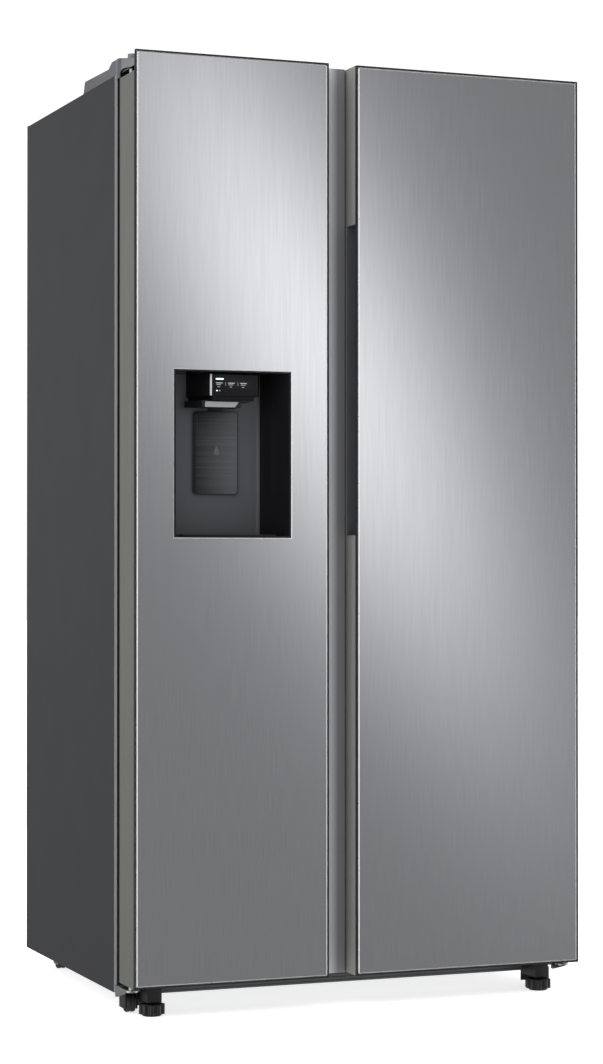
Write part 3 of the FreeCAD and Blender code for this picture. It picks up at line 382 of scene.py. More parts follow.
@functools.cache
def strip_metal():
    """Satin metal of the strip between the doors, with painted shade: light at its left, darker towards its
    right.
    """
    made = Finish("strip_metal", chosen("grip"), 0.34, 0.35)
    low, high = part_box("grip_strip")
    # Painted shade: the tint darkens from the strip's left towards the other door.
    painted_shade_to_right = made.ranged(made.along(X, low.x, high.x), 0.42, 0.72, 1, 0)
    made.tint(made.blended(painted_shade_to_right, made.noise((30, 30, 3)), 0.08), 0.25, 0.72)
    made.polish(made.noise((20, 20, 8)), 0.04)
    return made.material


@functools.cache
def pocket_plastic():
    """Dark plastic of the finger pockets and the droplet; on the hinge covers' necks it is painted shade."""
    return moulded("pocket_plastic", chosen("pocket"), 0.40, depth=0.00006)


@functools.cache
def white_plastic():
    """Glossy white plastic of the rooms, the doors' inner faces and the fittings in them."""
    made = Finish("white_plastic", chosen("white"), 0.28, Coat_Weight=0.25, Coat_Roughness=0.15)
    made.tint(made.noise((7, 7, 7), 2.0), 0.985, 1.0)
    made.polish(made.noise((12, 12, 12)), 0.008)
    made.relief(made.noise((260, 260, 260)), 0.00005, 0.2)
    return made.material


@functools.cache
def wire_coating():
    """White coating on the freezer's wire shelves."""
    return moulded("wire_coating", chosen("wire"), 0.35, depth=0.0001)


def see_through(name, base, roughness, weight, grain, depth):
    """A clear moulding with a faint ripple."""
    made = Finish(name, base, roughness, Transmission_Weight=weight, IOR=1.46)
    made.tint(made.noise((10, 10, 10)), 0.95, 1.0)
    made.relief(made.noise((grain, grain, grain)), depth, 0.25)
    return made.material


@functools.cache
def clear_plastic():
    """Clear plastic of the drawers and door bins."""
    return see_through("clear_plastic", (0.90, 0.93, 0.95), 0.07, 0.82, 40.0, 0.0002)


@functools.cache
def frosted_plastic():
    """Frosted plastic of the bins' trims, the shelves' edges and the grips."""
    return see_through("frosted_plastic", (0.86, 0.90, 0.93), 0.38, 0.55, 600.0, 0.0001)


@functools.cache
def shelf_glass():
    """Tempered glass with its faint green."""
    return see_through("shelf_glass", (0.87, 0.95, 0.92), 0.03, 0.90, 6.0, 0.0001)


@functools.cache
def seal_rubber():
    """Soft dark rubber of the door seals; on the case's front edge behind them it is laid as painted shade.
    """
    made = Finish("seal_rubber", srgb(24, 24, 25), 0.62, Specular_IOR_Level=0.35)
    made.tint(made.noise((60, 60, 60)), 0.8, 1.2)
    made.relief(made.noise((500, 500, 500)), 0.0001, 0.4)
    return made.material


@functools.cache
def wheel_rubber():
    """Hard grey rubber of the rollers."""
    made = Finish("wheel_rubber", srgb(38, 38, 40), 0.55)
    made.tint(made.noise((180, 180, 180), 3.0), 0.7, 1.35)
    made.relief(made.cells((700, 700, 700)), 0.0001, 0.4)
    return made.material


def plated(name, base, roughness, spangle, low=0.86, high=1.08):
    """Bare or plated metal with a spangle in its tone and gloss."""
    made = Finish(name, base, roughness, 1.0)
    made.tint(made.cells((spangle, spangle, spangle)), low, high)
    made.polish(made.noise((spangle, spangle, spangle)), 0.06)
    made.relief(made.noise((600, 600, 600)), 0.00005, 0.3)
    return made.material


@functools.cache
def zinc_steel():
    """Galvanised sheet and plated screws."""
    return plated("zinc_steel", srgb(176, 178, 180), 0.36, 90.0)


@functools.cache
def coil_aluminium():
    """Aluminium of the evaporator's tube."""
    return plated("coil_aluminium", srgb(196, 198, 200), 0.30, 160.0)


@functools.cache
def coil_copper():
    """Copper of the condenser's tube, a little tarnished."""
    return plated("coil_copper", srgb(176, 104, 72), 0.32, 120.0, 0.7, 1.1)


@functools.cache
def black_steel():
    """Black enamel on pressed steel."""
    made = Finish("black_steel", srgb(26, 26, 28), 0.36, Coat_Weight=0.3, Coat_Roughness=0.2)
    made.tint(made.noise((90, 90, 90), 3.0), 0.8, 1.25)
    made.relief(made.noise((400, 400, 400)), 0.0001, 0.3)
    return made.material


@functools.cache
def insulation_foam():
    """Pale yellow insulation foam with its small cells."""
    made = Finish("insulation_foam", srgb(214, 196, 140), 0.85)
    made.tint(made.cells((400, 400, 400)), 0.8, 1.05)
    made.relief(made.cells((400, 400, 400)), 0.0006, 0.6)
    return made.material


@functools.cache
def print_grey():
    """Pale print of the marks on the control head."""
    made = Finish("print_grey", srgb(168, 170, 174), 0.5)
    made.tint(made.noise((900, 900, 900)), 0.85, 1.0)
    return made.material


@functools.cache
def chute_plastic():
    """Light grey plastic of the trim on the front of the ice chute."""
    made = Finish("chute_plastic", srgb(140, 142, 146), 0.38, 0.2)
    made.tint(made.noise((12, 400, 400)), 0.88, 1.04)
    made.polish(made.noise((30, 30, 30)), 0.05)
    return made.material


def lit(name, base, strength):
    """A lens with its own light and a slight mottle."""
    made = Finish(name, base, 0.3, Emission_Color=(*base, 1.0), Emission_Strength=strength)
    made.tint(made.noise((200, 200, 200)), 0.9, 1.0)
    return made.material


@functools.cache
def indicator_light():
    """Cool white indicator bar."""
    return lit("indicator_light", (0.62, 0.86, 1.0), 1.3)


@functools.cache
def lamp_lens():
    """The rooms' lamp lenses."""
    return lit("lamp_lens", (1.0, 0.98, 0.94), 0.9)


# ---------------------------------------------------------------- mesh helpers

def spot(axis, along, first, second):
    """A point from its place along one axis and along the two others in order."""
    parts = [first, second]
    parts.insert(axis, along)
    return Vector(parts)


def sharp_edges(mesh, limit=35.0):
    """Edges where two faces meet at more than a limit in degrees."""
    least = math.radians(limit)
    return [edge for edge in mesh.edges if edge.is_manifold and edge.calc_face_angle(0.0) > least]


def soften(mesh, edges, width, segments=2):
    """Round over edges."""
    bmesh.ops.bevel(
        mesh, geom=list(edges), offset=width, offset_type="OFFSET", affect="EDGES",
        segments=segments, profile=0.5, material=-1, clamp_overlap=True,
    )


def add_box(mesh, low, high, width=0.0, segments=2):
    """A box between two corners, with rounded edges if a width is given."""
    low, high = Vector(low), Vector(high)
    scale = Matrix.Diagonal((*(high - low), 1.0))
    made = bmesh.ops.create_cube(mesh, size=1.0, matrix=Matrix.Translation((low + high) / 2) @ scale)
    if width:
        soften(mesh, {edge for vert in made["verts"] for edge in vert.link_edges}, width, segments)


def add_rod(mesh, start, end, radius, sides=32):
    """A cylinder between two points."""
    start, end = Vector(start), Vector(end)
    along = end - start
    place = Matrix.Translation((start + end) / 2) @ along.to_track_quat("Z", "Y").to_matrix().to_4x4()
    bmesh.ops.create_cone(
        mesh, cap_ends=True, cap_tris=False, segments=sides, radius1=radius, radius2=radius,
        depth=along.length, matrix=place,
    )


def add_prism(mesh, outline, axis, low, high, width=0.0, segments=2):
    """A straight prism: an outline in the two other axes, carried along one axis."""
    base = mesh.faces.new([mesh.verts.new(spot(axis, low, *point)) for point in outline])
    made = bmesh.ops.extrude_face_region(mesh, geom=[base])
    top = [item for item in made["geom"] if isinstance(item, bmesh.types.BMVert)]
    bmesh.ops.translate(mesh, verts=top, vec=spot(axis, high - low, 0, 0))
    if width:
        soften(mesh, {edge for vert in (*base.verts, *top) for edge in vert.link_edges}, width, segments)


def add_turned(mesh, centre, axis, profile, steps=40):
    """A turned shape: profile holds pairs of distance along the axis and radius."""
    before = set(mesh.verts)
    centre = Vector(centre)
    along = spot(axis, 1, 0, 0)
    aside = spot(axis, 0, 1, 0)
    verts = [mesh.verts.new(centre + along * far + aside * radius) for far, radius in profile]
    edges = [mesh.edges.new(pair) for pair in zip(verts, verts[1:])]
    bmesh.ops.spin(
        mesh, geom=verts + edges, cent=centre, axis=along, angle=math.tau, steps=steps, use_merge=True
    )
    bmesh.ops.remove_doubles(mesh, verts=[vert for vert in mesh.verts if vert not in before], dist=SAME)


def add_frame(mesh, low, high, section):
    """A closed section carried round a rectangle in the XZ plane: pairs of inset and Y."""
    middle = (low + high) / 2
    half = (high - low) / 2

    def settle(verts, inset, level):
        for vert in verts:
            aside = math.copysign(half.x - inset, vert.co.x - middle.x)
            above = math.copysign(half.z - inset, vert.co.z - middle.z)
            vert.co = (middle.x + aside, level, middle.z + above)

    corners = [(low.x, low.z), (high.x, low.z), (high.x, high.z), (low.x, high.z)]
    first = [mesh.verts.new((x, middle.y, z)) for x, z in corners]
    made = list(first)
    settle(first, *section[0])
    ring = [mesh.edges.new((first[i], first[(i + 1) % 4])) for i in range(4)]
    for inset, level in (*section[1:], section[0]):
        grown = bmesh.ops.extrude_edge_only(mesh, edges=ring)["geom"]
        verts = [item for item in grown if isinstance(item, bmesh.types.BMVert)]
        edges = [item for item in grown if isinstance(item, bmesh.types.BMEdge)]
        settle(verts, inset, level)
        made += verts
        ring = [edge for edge in edges if set(edge.verts) <= set(verts)]
    bmesh.ops.remove_doubles(mesh, verts=made, dist=SAME)


def add_screw(mesh, place, axis, facing):
    """A screw's head with a round recess, facing one way along an axis."""
    radius = chosen_size("screw_radius")
    profile = [
        (0.0, radius), (0.18, radius), (0.42, radius * 0.86), (0.52, radius * 0.55),
        (0.52, radius * 0.34), (0.2, radius * 0.28), (0.2, 0.0),
    ]
    add_turned(mesh, place, axis, [(facing * far * radius, wide) for far, wide in profile], 18)


def cleaned(node):
    """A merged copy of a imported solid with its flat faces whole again."""
    merge = 0.004 * MM
    flat = math.radians(0.5)
    mesh = bmesh.new()
    mesh.from_mesh(frame["nodes"][node].data)
    bmesh.ops.remove_doubles(mesh, verts=mesh.verts, dist=merge)
    bmesh.ops.dissolve_limit(mesh, angle_limit=flat, verts=mesh.verts, edges=mesh.edges)
    for face in mesh.faces:
        face.material_index = 0
    return mesh


def piece(mesh, name, body, materials, replaces=(), turn_out=True, smooth=32.0):
    """Finish a mesh as a named piece that rides on a body."""
    if turn_out:
        bmesh.ops.recalc_face_normals(mesh, faces=mesh.faces)
    data = bpy.data.meshes.new(name)
    mesh.to_mesh(data)
    mesh.free()
    for material in materials:
        data.materials.append(material)
    data.shade_smooth()
    data.set_sharp_from_angle(angle=math.radians(smooth))
    made = bpy.data.objects.new(name, data)
    bpy.context.scene.collection.objects.link(made)
    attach(made, body)
    if replaces:
        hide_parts(*replaces)


def refit(node, name, materials, width=0.0, segments=2, choose=None, paint=None):
    """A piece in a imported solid's own shape, with rounded edges and a finish for each face."""
    mesh = cleaned(node)
    if width:
        soften(mesh, [edge for edge in sharp_edges(mesh) if choose is None or choose(edge)], width, segments)
    if paint:
        for face in mesh.faces:
            face.material_index = paint(face)
    piece(mesh, name, BODY_OF[node], materials, [node], turn_out=False)


def dress(node, material):
    """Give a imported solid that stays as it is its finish."""
    for holder in frame["nodes"][node].material_slots:
        holder.material = material


def levels_of(node, axis, gap):
    """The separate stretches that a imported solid's points fill along one axis."""
    places = sorted({round(vert.co[axis], 5) for vert in frame["nodes"][node].data.vertices})
    stretches = [[places[0], places[0]]]
    for place in places[1:]:
        if place - stretches[-1][1] > gap:
            stretches.append([place, place])
        stretches[-1][1] = place
    return stretches


# ---------------------------------------------------------------- door fronts

def edges_along(mesh, axis):
    """Edges that run along one axis."""
    return [edge for edge in mesh.edges if abs(edge.verts[0].co[axis] - edge.verts[1].co[axis]) > MM]


def slice_at(mesh, axis, place):
    """Cut every face along a plane across one axis."""
    across = spot(axis, 1, 0, 0)
    geometry = [*mesh.verts, *mesh.edges, *mesh.faces]
    bmesh.ops.bisect_plane(mesh, geom=geometry, plane_co=across * place, plane_no=across, dist=SAME)


def cut_window(mesh, low, high):
    """Cut a rectangular window through a plate along Y."""
    for axis, place in ((X, low.x), (X, high.x), (Z, low.z), (Z, high.z)):
        slice_at(mesh, axis, place)

    def inside(face):
        middle = face.calc_center_median()
        return abs(face.normal.y) > 0.9 and low.x < middle.x < high.x and low.z < middle.z < high.z

    bmesh.ops.delete(mesh, geom=[face for face in mesh.faces if inside(face)], context="FACES")
    bmesh.ops.bridge_loops(mesh, edges=[edge for edge in mesh.edges if edge.is_boundary])


def make_steel_front(node, name, window=None):
    """A folded steel front with a cut edge brightened by a painted highlight and, on the left door, the
    dispenser's window.
    """
    low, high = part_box(node)
    corner = 3.2 * MM
    mesh = bmesh.new()
    add_box(mesh, low, high)
    soften(mesh, edges_along(mesh, Y), corner, 4)
    if window:
        cut_window(mesh, *window)

    def at_front(edge):
        return all(abs(vert.co.y - low.y) < SAME for vert in edge.verts)

    def at_rim(edge):
        middle = (edge.verts[0].co + edge.verts[1].co) / 2
        from_rim = min(middle.x - low.x, high.x - middle.x, middle.z - low.z, high.z - middle.z)
        return from_rim < 4 * MM

    front = [edge for edge in sharp_edges(mesh, 60) if at_front(edge)]
    opening = [edge for edge in front if not at_rim(edge)]
    soften(mesh, [edge for edge in front if at_rim(edge)], chosen_size("cut_edge"), 1)
    soften(mesh, [edge for edge in opening if edge.is_valid], chosen_size("cut_window"), 1)
    # Leaning faces are the cut edge, partly a painted highlight, and the one at the door's right takes a
    # paler painted highlight.
    for face in mesh.faces:
        leaning = -0.97 < face.normal.y < -0.3
        painted_highlight_at_right = face.normal.x > 0.5 and face.calc_center_median().x > high.x - 6 * MM
        face.material_index = 0 if not leaning else 2 if painted_highlight_at_right else 1
    materials = [brushed_steel(), cut_steel(), pale_cut_steel()]
    piece(mesh, name, BODY_OF[node], materials, [node], smooth=20)


def make_front_rim(node, name):
    """The thin black moulding that frames a steel front."""
    low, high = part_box(node)
    wide = chosen_size("rim_wide")
    grown = Vector((wide, 0, wide))
    low, high = low - grown, high + grown
    face, back = low.y + 0.5 * MM, high.y
    chamfer = 0.6 * MM
    section = [(0.0, back), (0.0, face + chamfer), (chamfer, face), (wide, face), (wide, back)]
    mesh = bmesh.new()
    add_frame(mesh, low, high, section)

    def corner(edge):
        across = [abs(edge.verts[0].co[axis] - edge.verts[1].co[axis]) < SAME for axis in (X, Z)]
        outside = all(min(vert.co.x - low.x, high.x - vert.co.x) < SAME for vert in edge.verts)
        return all(across) and outside

    soften(mesh, [edge for edge in mesh.edges if corner(edge)], 2.0 * MM, 3)
    piece(mesh, name, BODY_OF[node], [black_plastic()])


class REFRIGERATOR_OT_steel_fronts(bpy.types.Operator):
    """Make the two brushed steel door fronts and the black mouldings round them"""

    bl_idname = "refrigerator.steel_fronts"
    bl_label = "Steel fronts"

    def execute(self, context):
        make_steel_front("freezer_door_panel", "freezer_steel_front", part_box("dispenser_housing"))
        make_steel_front("fridge_door_panel", "fridge_steel_front")
        make_front_rim("freezer_door_panel", "freezer_front_rim")
        make_front_rim("fridge_door_panel", "fridge_front_rim")
        return {"FINISHED"}


# ---------------------------------------------------------------- door bodies

def make_door_body(node, name):
    """A door's painted case, with a black rim round its steel front and a black edge at its rear."""
    low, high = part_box(node)
    rim = low.y + 2.2 * MM
    edge_band = high.y - 6 * MM
    tall = 0.4
    near = 1e-5
    mesh = cleaned(node)
    for place in (rim, edge_band):
        slice_at(mesh, Y, place)

    def outer(edge):
        ends = [vert.co for vert in edge.verts]
        upright = abs(ends[0].z - ends[1].z) > tall
        at_side = all(min(co.x - low.x, high.x - co.x) < near for co in ends)
        return upright and at_side and all(co.y > high.y - near or co.y < low.y + near for co in ends)

    soften(mesh, [edge for edge in sharp_edges(mesh) if outer(edge)], 1.4 * MM, 3)
    for face in mesh.faces:
        middle = face.calc_center_median()
        black = middle.y < rim or middle.y > edge_band or abs(face.normal.z) > 0.9
        # The fridge door's side facing the gap takes the lighter copy of the side paint: painted light.
        painted_light_gap_face = face.normal.x < -0.9 and node == "fridge_door_body"
        face.material_index = 1 if black else 2 if painted_light_gap_face else 0
    materials = [door_side_paint(), black_plastic(), gap_side_paint()]
    piece(mesh, name, BODY_OF[node], materials, [node], turn_out=False)


def make_door_caps(node, name, side):
    """The moulded caps on a door's top and bottom ends, with their screws."""
    low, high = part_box(node)
    thick = 1.2 * MM
    inset = 8 * MM
    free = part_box("hinge_cover_" + side)
    mesh = bmesh.new()
    left, right = low.x + inset, high.x - inset
    if side == "left":
        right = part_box("freezer_door_panel")[1].x - inset
        top_left, top_right = free[1].x + inset, right
    else:
        top_left, top_right = left, free[0].x - inset
    for floor, first, last in ((high.z, top_left, top_right), (low.z - thick, left, right)):
        add_box(mesh, (first, low.y + inset, floor), (last, high.y - inset, floor + thick), 0.6 * MM)
    middle = (low.y + high.y) / 2
    for share in (0.12, 0.5, 0.88):
        add_screw(mesh, (top_left + (top_right - top_left) * share, middle, high.z + thick), Z, 1)
    piece(mesh, name, BODY_OF[node], [black_plastic()])


def make_pocket_lining(name, body, low, high, open_side):
    """A thin moulded tray that lines a finger pocket, open towards the other door."""
    wall = 1.2 * MM
    mesh = bmesh.new()
    add_box(mesh, low, high)
    mouth = [face for face in mesh.faces if face.normal.x * open_side > 0.9]
    bmesh.ops.delete(mesh, geom=mouth, context="FACES")
    deep = low.x if open_side > 0 else high.x

    def inner(edge):
        return all(abs(vert.co.x - deep) < SAME for vert in edge.verts)

    soften(mesh, [edge for edge in sharp_edges(mesh) if inner(edge)], 7 * MM, 5)
    bmesh.ops.recalc_face_normals(mesh, faces=mesh.faces)
    bmesh.ops.solidify(mesh, geom=mesh.faces[:], thickness=wall)
    piece(mesh, name, body, [pocket_plastic()])


def find_pocket(node, side):
    """The finger pocket's box: from a door's points that lie well inside its height and depth."""
    low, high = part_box(node)
    floor, top = low.z + 300 * MM, high.z - 200 * MM
    front, back = low.y + 1 * MM, high.y - 2 * MM
    points = [vert.co for vert in frame["nodes"][node].data.vertices]
    inner = [co for co in points if floor < co.z < top and front < co.y < back]
    if side == "left":
        past_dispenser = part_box("dispenser_housing")[1].x + 10 * MM
        inner = [co for co in inner if co.x > past_dispenser]
    else:
        inner = [co for co in inner if co.x < low.x + 60 * MM]
    return (
        Vector([min(co[axis] for co in inner) for axis in range(3)]),
        Vector([max(co[axis] for co in inner) for axis in range(3)]),
    )


class REFRIGERATOR_OT_door_bodies(bpy.types.Operator):
    """Make the doors' painted cases, their end caps and the linings of their finger pockets"""

    bl_idname = "refrigerator.door_bodies"
    bl_label = "Door bodies"

    def execute(self, context):
        play = 0.15 * MM
        for side, door, opening in (("left", "freezer_door", 1), ("right", "fridge_door", -1)):
            make_door_body(f"{door}_body", f"{door}_case")
            make_door_caps(f"{door}_body", f"{door}_end_caps", side)
            low, high = find_pocket(f"{door}_body", side)
            ease = Vector((play, play, play))
            make_pocket_lining(f"{door}_grip_lining", door, low + ease, high - ease, opening)
        return {"FINISHED"}


class REFRIGERATOR_OT_grip_strip(bpy.types.Operator):
    """Make the satin metal strip that shows between the doors"""

    bl_idname = "refrigerator.grip_strip"
    bl_label = "Grip strip"

    def execute(self, context):
        node = "grip_strip"
        low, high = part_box(node)
        mesh = bmesh.new()
        add_box(mesh, low, high, 0.8 * MM, 3)
        piece(mesh, "grip_strip_face", BODY_OF[node], [strip_metal()], [node])
        return {"FINISHED"}


# ---------------------------------------------------------------- seals, door liners and bins

# A seal's section: pairs of inset and height above the door, as shares of its width and depth.
SEAL_SHAPE = (
    (0.00, 0.00), (0.00, 0.10), (0.10, 0.18), (0.03, 0.30), (0.14, 0.42), (0.04, 0.54), (0.0, 0.70),
    (0.03, 0.92), (0.12, 1.00), (0.46, 1.00), (0.50, 0.96), (0.54, 1.00), (0.80, 1.00), (0.88, 0.92),
    (0.90, 0.76), (0.80, 0.62), (0.93, 0.50), (0.82, 0.36), (0.97, 0.22), (1.00, 0.10), (1.00, 0.00),
)


class REFRIGERATOR_OT_seals(bpy.types.Operator):
    """Make the folded magnetic seals round the doors' inner faces"""

    bl_idname = "refrigerator.seals"
    bl_label = "Door seals"

    def execute(self, context):
        wide = 16 * MM
        for door in ("freezer_door", "fridge_door"):
            node = f"{door}_gasket"
            low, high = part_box(node)
            deep = high.y - low.y
            section = [(share * wide, low.y + rise * deep) for share, rise in SEAL_SHAPE]
            mesh = bmesh.new()
            add_frame(mesh, low, high, section)
            piece(mesh, f"{door}_seal", door, [seal_rubber()], [node])
        return {"FINISHED"}


class REFRIGERATOR_OT_door_liners(bpy.types.Operator):
    """Make the doors' white inner faces and their bins"""

    bl_idname = "refrigerator.door_liners"
    bl_label = "Door liners and bins"

    def execute(self, context):
        for door in ("freezer_door", "fridge_door"):
            node = f"{door}_liner"
            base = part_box(node)[0].y + 3 * MM

            def raised(edge, base=base):
                return all(vert.co.y > base for vert in edge.verts)

            refit(node, f"{door}_inner_face", [white_plastic()], 2.5 * MM, 3, choose=raised)
            node = f"{door}_bins"
            refit(node, f"{door}_bin_trays", [clear_plastic()], 0.9 * MM, 2)
            self.add_trims(node, f"{door}_bin_trims", door)
        refit("dairy_lid", "dairy_shelf_lid", [clear_plastic()], 0.8 * MM, 2)
        low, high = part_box("dairy_lid")
        mesh = bmesh.new()
        middle = (low.x + high.x) / 2
        half = 40 * MM
        add_box(
            mesh, (middle - half, high.y - 1 * MM, low.z + 2 * MM),
            (middle + half, high.y + 5 * MM, low.z + 12 * MM), 2 * MM, 3,
        )
        piece(mesh, "dairy_lid_grip", "dairy_lid", [frosted_plastic()])
        return {"FINISHED"}

    def add_trims(self, node, name, body):
        """A raised trim along the front of each bin."""
        low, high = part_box(node)
        mesh = bmesh.new()
        for floor, top in levels_of(node, Z, 30 * MM):
            tall = top - floor
            add_box(
                mesh, (low.x + 2 * MM, high.y - 0.4 * MM, floor + tall * 0.52),
                (high.x - 2 * MM, high.y + 2.2 * MM, floor + tall * 0.68), 0.9 * MM, 2,
            )
        piece(mesh, name, body, [frosted_plastic()])


# ---------------------------------------------------------------- dispenser

def make_housing():
    """The dispenser's recess: satin rear wall, polished black sides and a black rim."""
    node = "dispenser_housing"
    low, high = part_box(node)
    back = high.y - 3 * MM

    def on_right_side(edge):
        ends = [vert.co for vert in edge.verts]
        return all(low.y + 4 * MM < co.y < back - 11 * MM and co.x > high.x - 20 * MM for co in ends)

    def on_rear_wall(face):
        middle = face.calc_center_median()
        return face.normal.y < -0.45 and middle.y > back - 12 * MM and middle.x < high.x - 30 * MM

    mesh = cleaned(node)
    soften(mesh, [edge for edge in sharp_edges(mesh, 12) if on_right_side(edge)], 3 * MM, 3)
    for face in mesh.faces:
        face.material_index = 0 if on_rear_wall(face) else 1
    materials = [dispenser_satin(), gloss_black()]
    piece(mesh, "dispenser_recess", BODY_OF[node], materials, [node], turn_out=False)


def make_head_marks():
    """Generic marks on the control head: a light bar, three symbols with dashes, and a dot."""
    low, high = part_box("dispenser_head")
    face = low.y
    proud = 0.35 * MM
    left = low.x + 26 * MM
    top = high.z - 11 * MM
    body = BODY_OF["dispenser_head"]

    def add_mark(mesh, x, z, wide, tall):
        add_box(mesh, (x, face - proud, z - tall), (x + wide, face + proud, z), 0.15 * MM, 1)

    bar = bmesh.new()
    add_mark(bar, left + 6 * MM, top, 15 * MM, 2.6 * MM)
    dot_x, dot_z = left + 8 * MM, top - 23 * MM
    add_rod(bar, (dot_x, face - proud, dot_z), (dot_x, face + proud, dot_z), 1.2 * MM)
    piece(bar, "dispenser_indicators", body, [indicator_light()])

    marks = bmesh.new()
    rows = top - 8 * MM
    for i in range(3):
        x = left + 6 * MM + i * 24 * MM
        add_mark(marks, x, rows, 13 * MM, 1.5 * MM)
        add_mark(marks, x + 1 * MM, rows - 3.4 * MM, 9 * MM, 1.0 * MM)
        add_mark(marks, x + 3 * MM, rows - 7.5 * MM, 5 * MM, 0.9 * MM)
        if i:
            add_mark(marks, x - 5 * MM, rows + 0.6 * MM, 0.6 * MM, 6 * MM)
    add_mark(marks, left + 12 * MM, top - 22.4 * MM, 3 * MM, 1.2 * MM)
    piece(marks, "dispenser_marks", body, [print_grey()])


def make_chute_trim():
    """The light trim across the front of the chute."""
    low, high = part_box("dispenser_chute")
    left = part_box("dispenser_head")[0].x + 15 * MM
    right = left + 67 * MM
    floor, top = low.z - 0.3 * MM, high.z - 2 * MM
    outline = [(left, floor), (right - 8 * MM, floor), (right, top), (left + 1 * MM, top)]
    mesh = bmesh.new()
    add_prism(mesh, outline, Y, low.y - 1.6 * MM, low.y + 0.4 * MM, 0.5 * MM, 2)
    piece(mesh, "dispenser_chute_trim", BODY_OF["dispenser_chute"], [chute_plastic()])


def make_droplet():
    """A plain droplet raised on the paddle."""
    low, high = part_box("dispenser_paddle")
    middle = (low.x + high.x) / 2
    level = (low.z + high.z) / 2 - 6 * MM
    radius = 5.5 * MM
    start, end, steps = -210, 30, 16
    outline = []
    for i in range(steps + 1):
        turn = math.radians(start + (end - start) * i / steps)
        outline.append((middle + radius * math.cos(turn), level + radius * math.sin(turn)))
    outline.append((middle, level + radius * 2.4))
    mesh = bmesh.new()
    add_prism(mesh, outline, Y, low.y - 0.3 * MM, low.y + 0.3 * MM)
    piece(mesh, "paddle_droplet", "dispenser_paddle", [pocket_plastic()])


class REFRIGERATOR_OT_dispenser(bpy.types.Operator):
    """Make the ice and water dispenser"""

    bl_idname = "refrigerator.dispenser"
    bl_label = "Dispenser"

    def execute(self, context):
        make_housing()
        self.make_head()
        refit("dispenser_chute", "dispenser_funnel", [black_plastic()], 0.5 * MM, 2)
        refit("dispenser_paddle", "dispenser_lever", [paddle_plastic()], 0.3 * MM, 1)
        refit("drip_tray", "drip_grille", [black_plastic()], 0.5 * MM, 2)
        make_head_marks()
        make_chute_trim()
        make_droplet()
        self.make_paddle_painted_shadow()
        return {"FINISHED"}

    def make_paddle_painted_shadow(self):
        """A black plate behind the paddle's face, a little wider than it and widest at its left: a painted
        shadow round the paddle.
        """
        low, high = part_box("dispenser_paddle")
        top = high.z - 16.5 * MM
        wide = 1.2 * MM
        mesh = bmesh.new()
        floor, roof = low.z - wide, top + wide
        add_box(mesh, (low.x - 2 * wide, low.y + 1.4 * MM, floor), (high.x + wide, low.y + 3.3 * MM, roof))
        soften(mesh, edges_along(mesh, Y), 7 * MM, 4)
        piece(mesh, "paddle_edging", "dispenser_paddle", [black_plastic()])

    def make_head(self):
        """The control head in polished black, with a painted highlight on the chamfer at its left."""
        node = "dispenser_head"
        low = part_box(node)[0]

        def on_chamfer(face):
            middle = face.calc_center_median()
            leaning = face.normal.x < -0.25 and face.normal.y < -0.25
            return int(leaning and middle.y < low.y + 5 * MM and middle.z > low.z + 4 * MM)

        materials = [gloss_black(), grip_metal()]
        refit(node, "dispenser_control_head", materials, 0.9 * MM, 3, paint=on_chamfer)


# ---------------------------------------------------------------- case

class REFRIGERATOR_OT_case(bpy.types.Operator):
    """Make the painted case with its rounded bends and turned front edge"""

    bl_idname = "refrigerator.case"
    bl_label = "Case"

    def execute(self, context):
        node = "cabinet_wrapper"
        low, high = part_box(node)
        mesh = cleaned(node)

        def lies_in(edge, axis, place):
            return all(abs(vert.co[axis] - place) < SAME for vert in edge.verts)

        def outer(edge):
            planes = ((X, low.x), (X, high.x), (Y, low.y), (Z, high.z))
            return sum(lies_in(edge, axis, place) for axis, place in planes) > 1

        bends = [edge for edge in mesh.edges if outer(edge)]
        front = [edge for edge in bends if lies_in(edge, Y, low.y)]
        rest = [edge for edge in bends if not lies_in(edge, Y, low.y)]
        soften(mesh, rest, chosen_size("case_round"), 5)
        soften(mesh, [edge for edge in front if edge.is_valid], chosen_size("flange_round"), 3)
        wide = chosen_size("flange_wide")
        for place in (low.x + wide, high.x - wide):
            slice_at(mesh, X, place)
        # The turned front edge outside the band gets the lighter paint: a painted highlight.
        for face in mesh.faces:
            middle = face.calc_center_median()
            turned = face.normal.y < -0.3 and middle.y < low.y + 3 * MM
            # Inside the flange's width the front edge takes the seals' black rubber: painted shade where the
            # gap falls dark.
            painted_shade_band = low.x + wide < middle.x < high.x - wide
            face.material_index = 0 if not turned else 2 if painted_shade_band else 1
        materials = [case_paint(), flange_paint(), seal_rubber()]
        piece(mesh, "case_shell", "case", materials, [node], turn_out=False)
        dress("cabinet_foam", insulation_foam())
        # The mullion's front gets the same lighter paint: a painted highlight.
        refit("mullion_bar", "mullion_plate", [flange_paint()], 0.4 * MM)
        refit("base_pan", "floor_pan", [zinc_steel()], 0.3 * MM, 1)
        self.make_kick_rail()
        return {"FINISHED"}

    def make_kick_rail(self):
        """The rail under the doors with its long grooves."""
        node = "kick_rail"
        low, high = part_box(node)
        mesh = bmesh.new()
        tall = high.z - low.z
        add_box(mesh, (low.x, low.y + 1.5 * MM, low.z), (high.x, high.y, high.z), 0.8 * MM)
        ribs = 4
        for i in range(ribs):
            floor = low.z + tall * (i + 0.18) / ribs
            top = floor + tall * 0.62 / ribs
            add_box(mesh, (low.x, low.y, floor), (high.x, low.y + 3 * MM, top), 0.7 * MM)
        piece(mesh, "kick_rail_ribbed", "case", [hinge_cover_plastic()], [node])


# ---------------------------------------------------------------- hinges

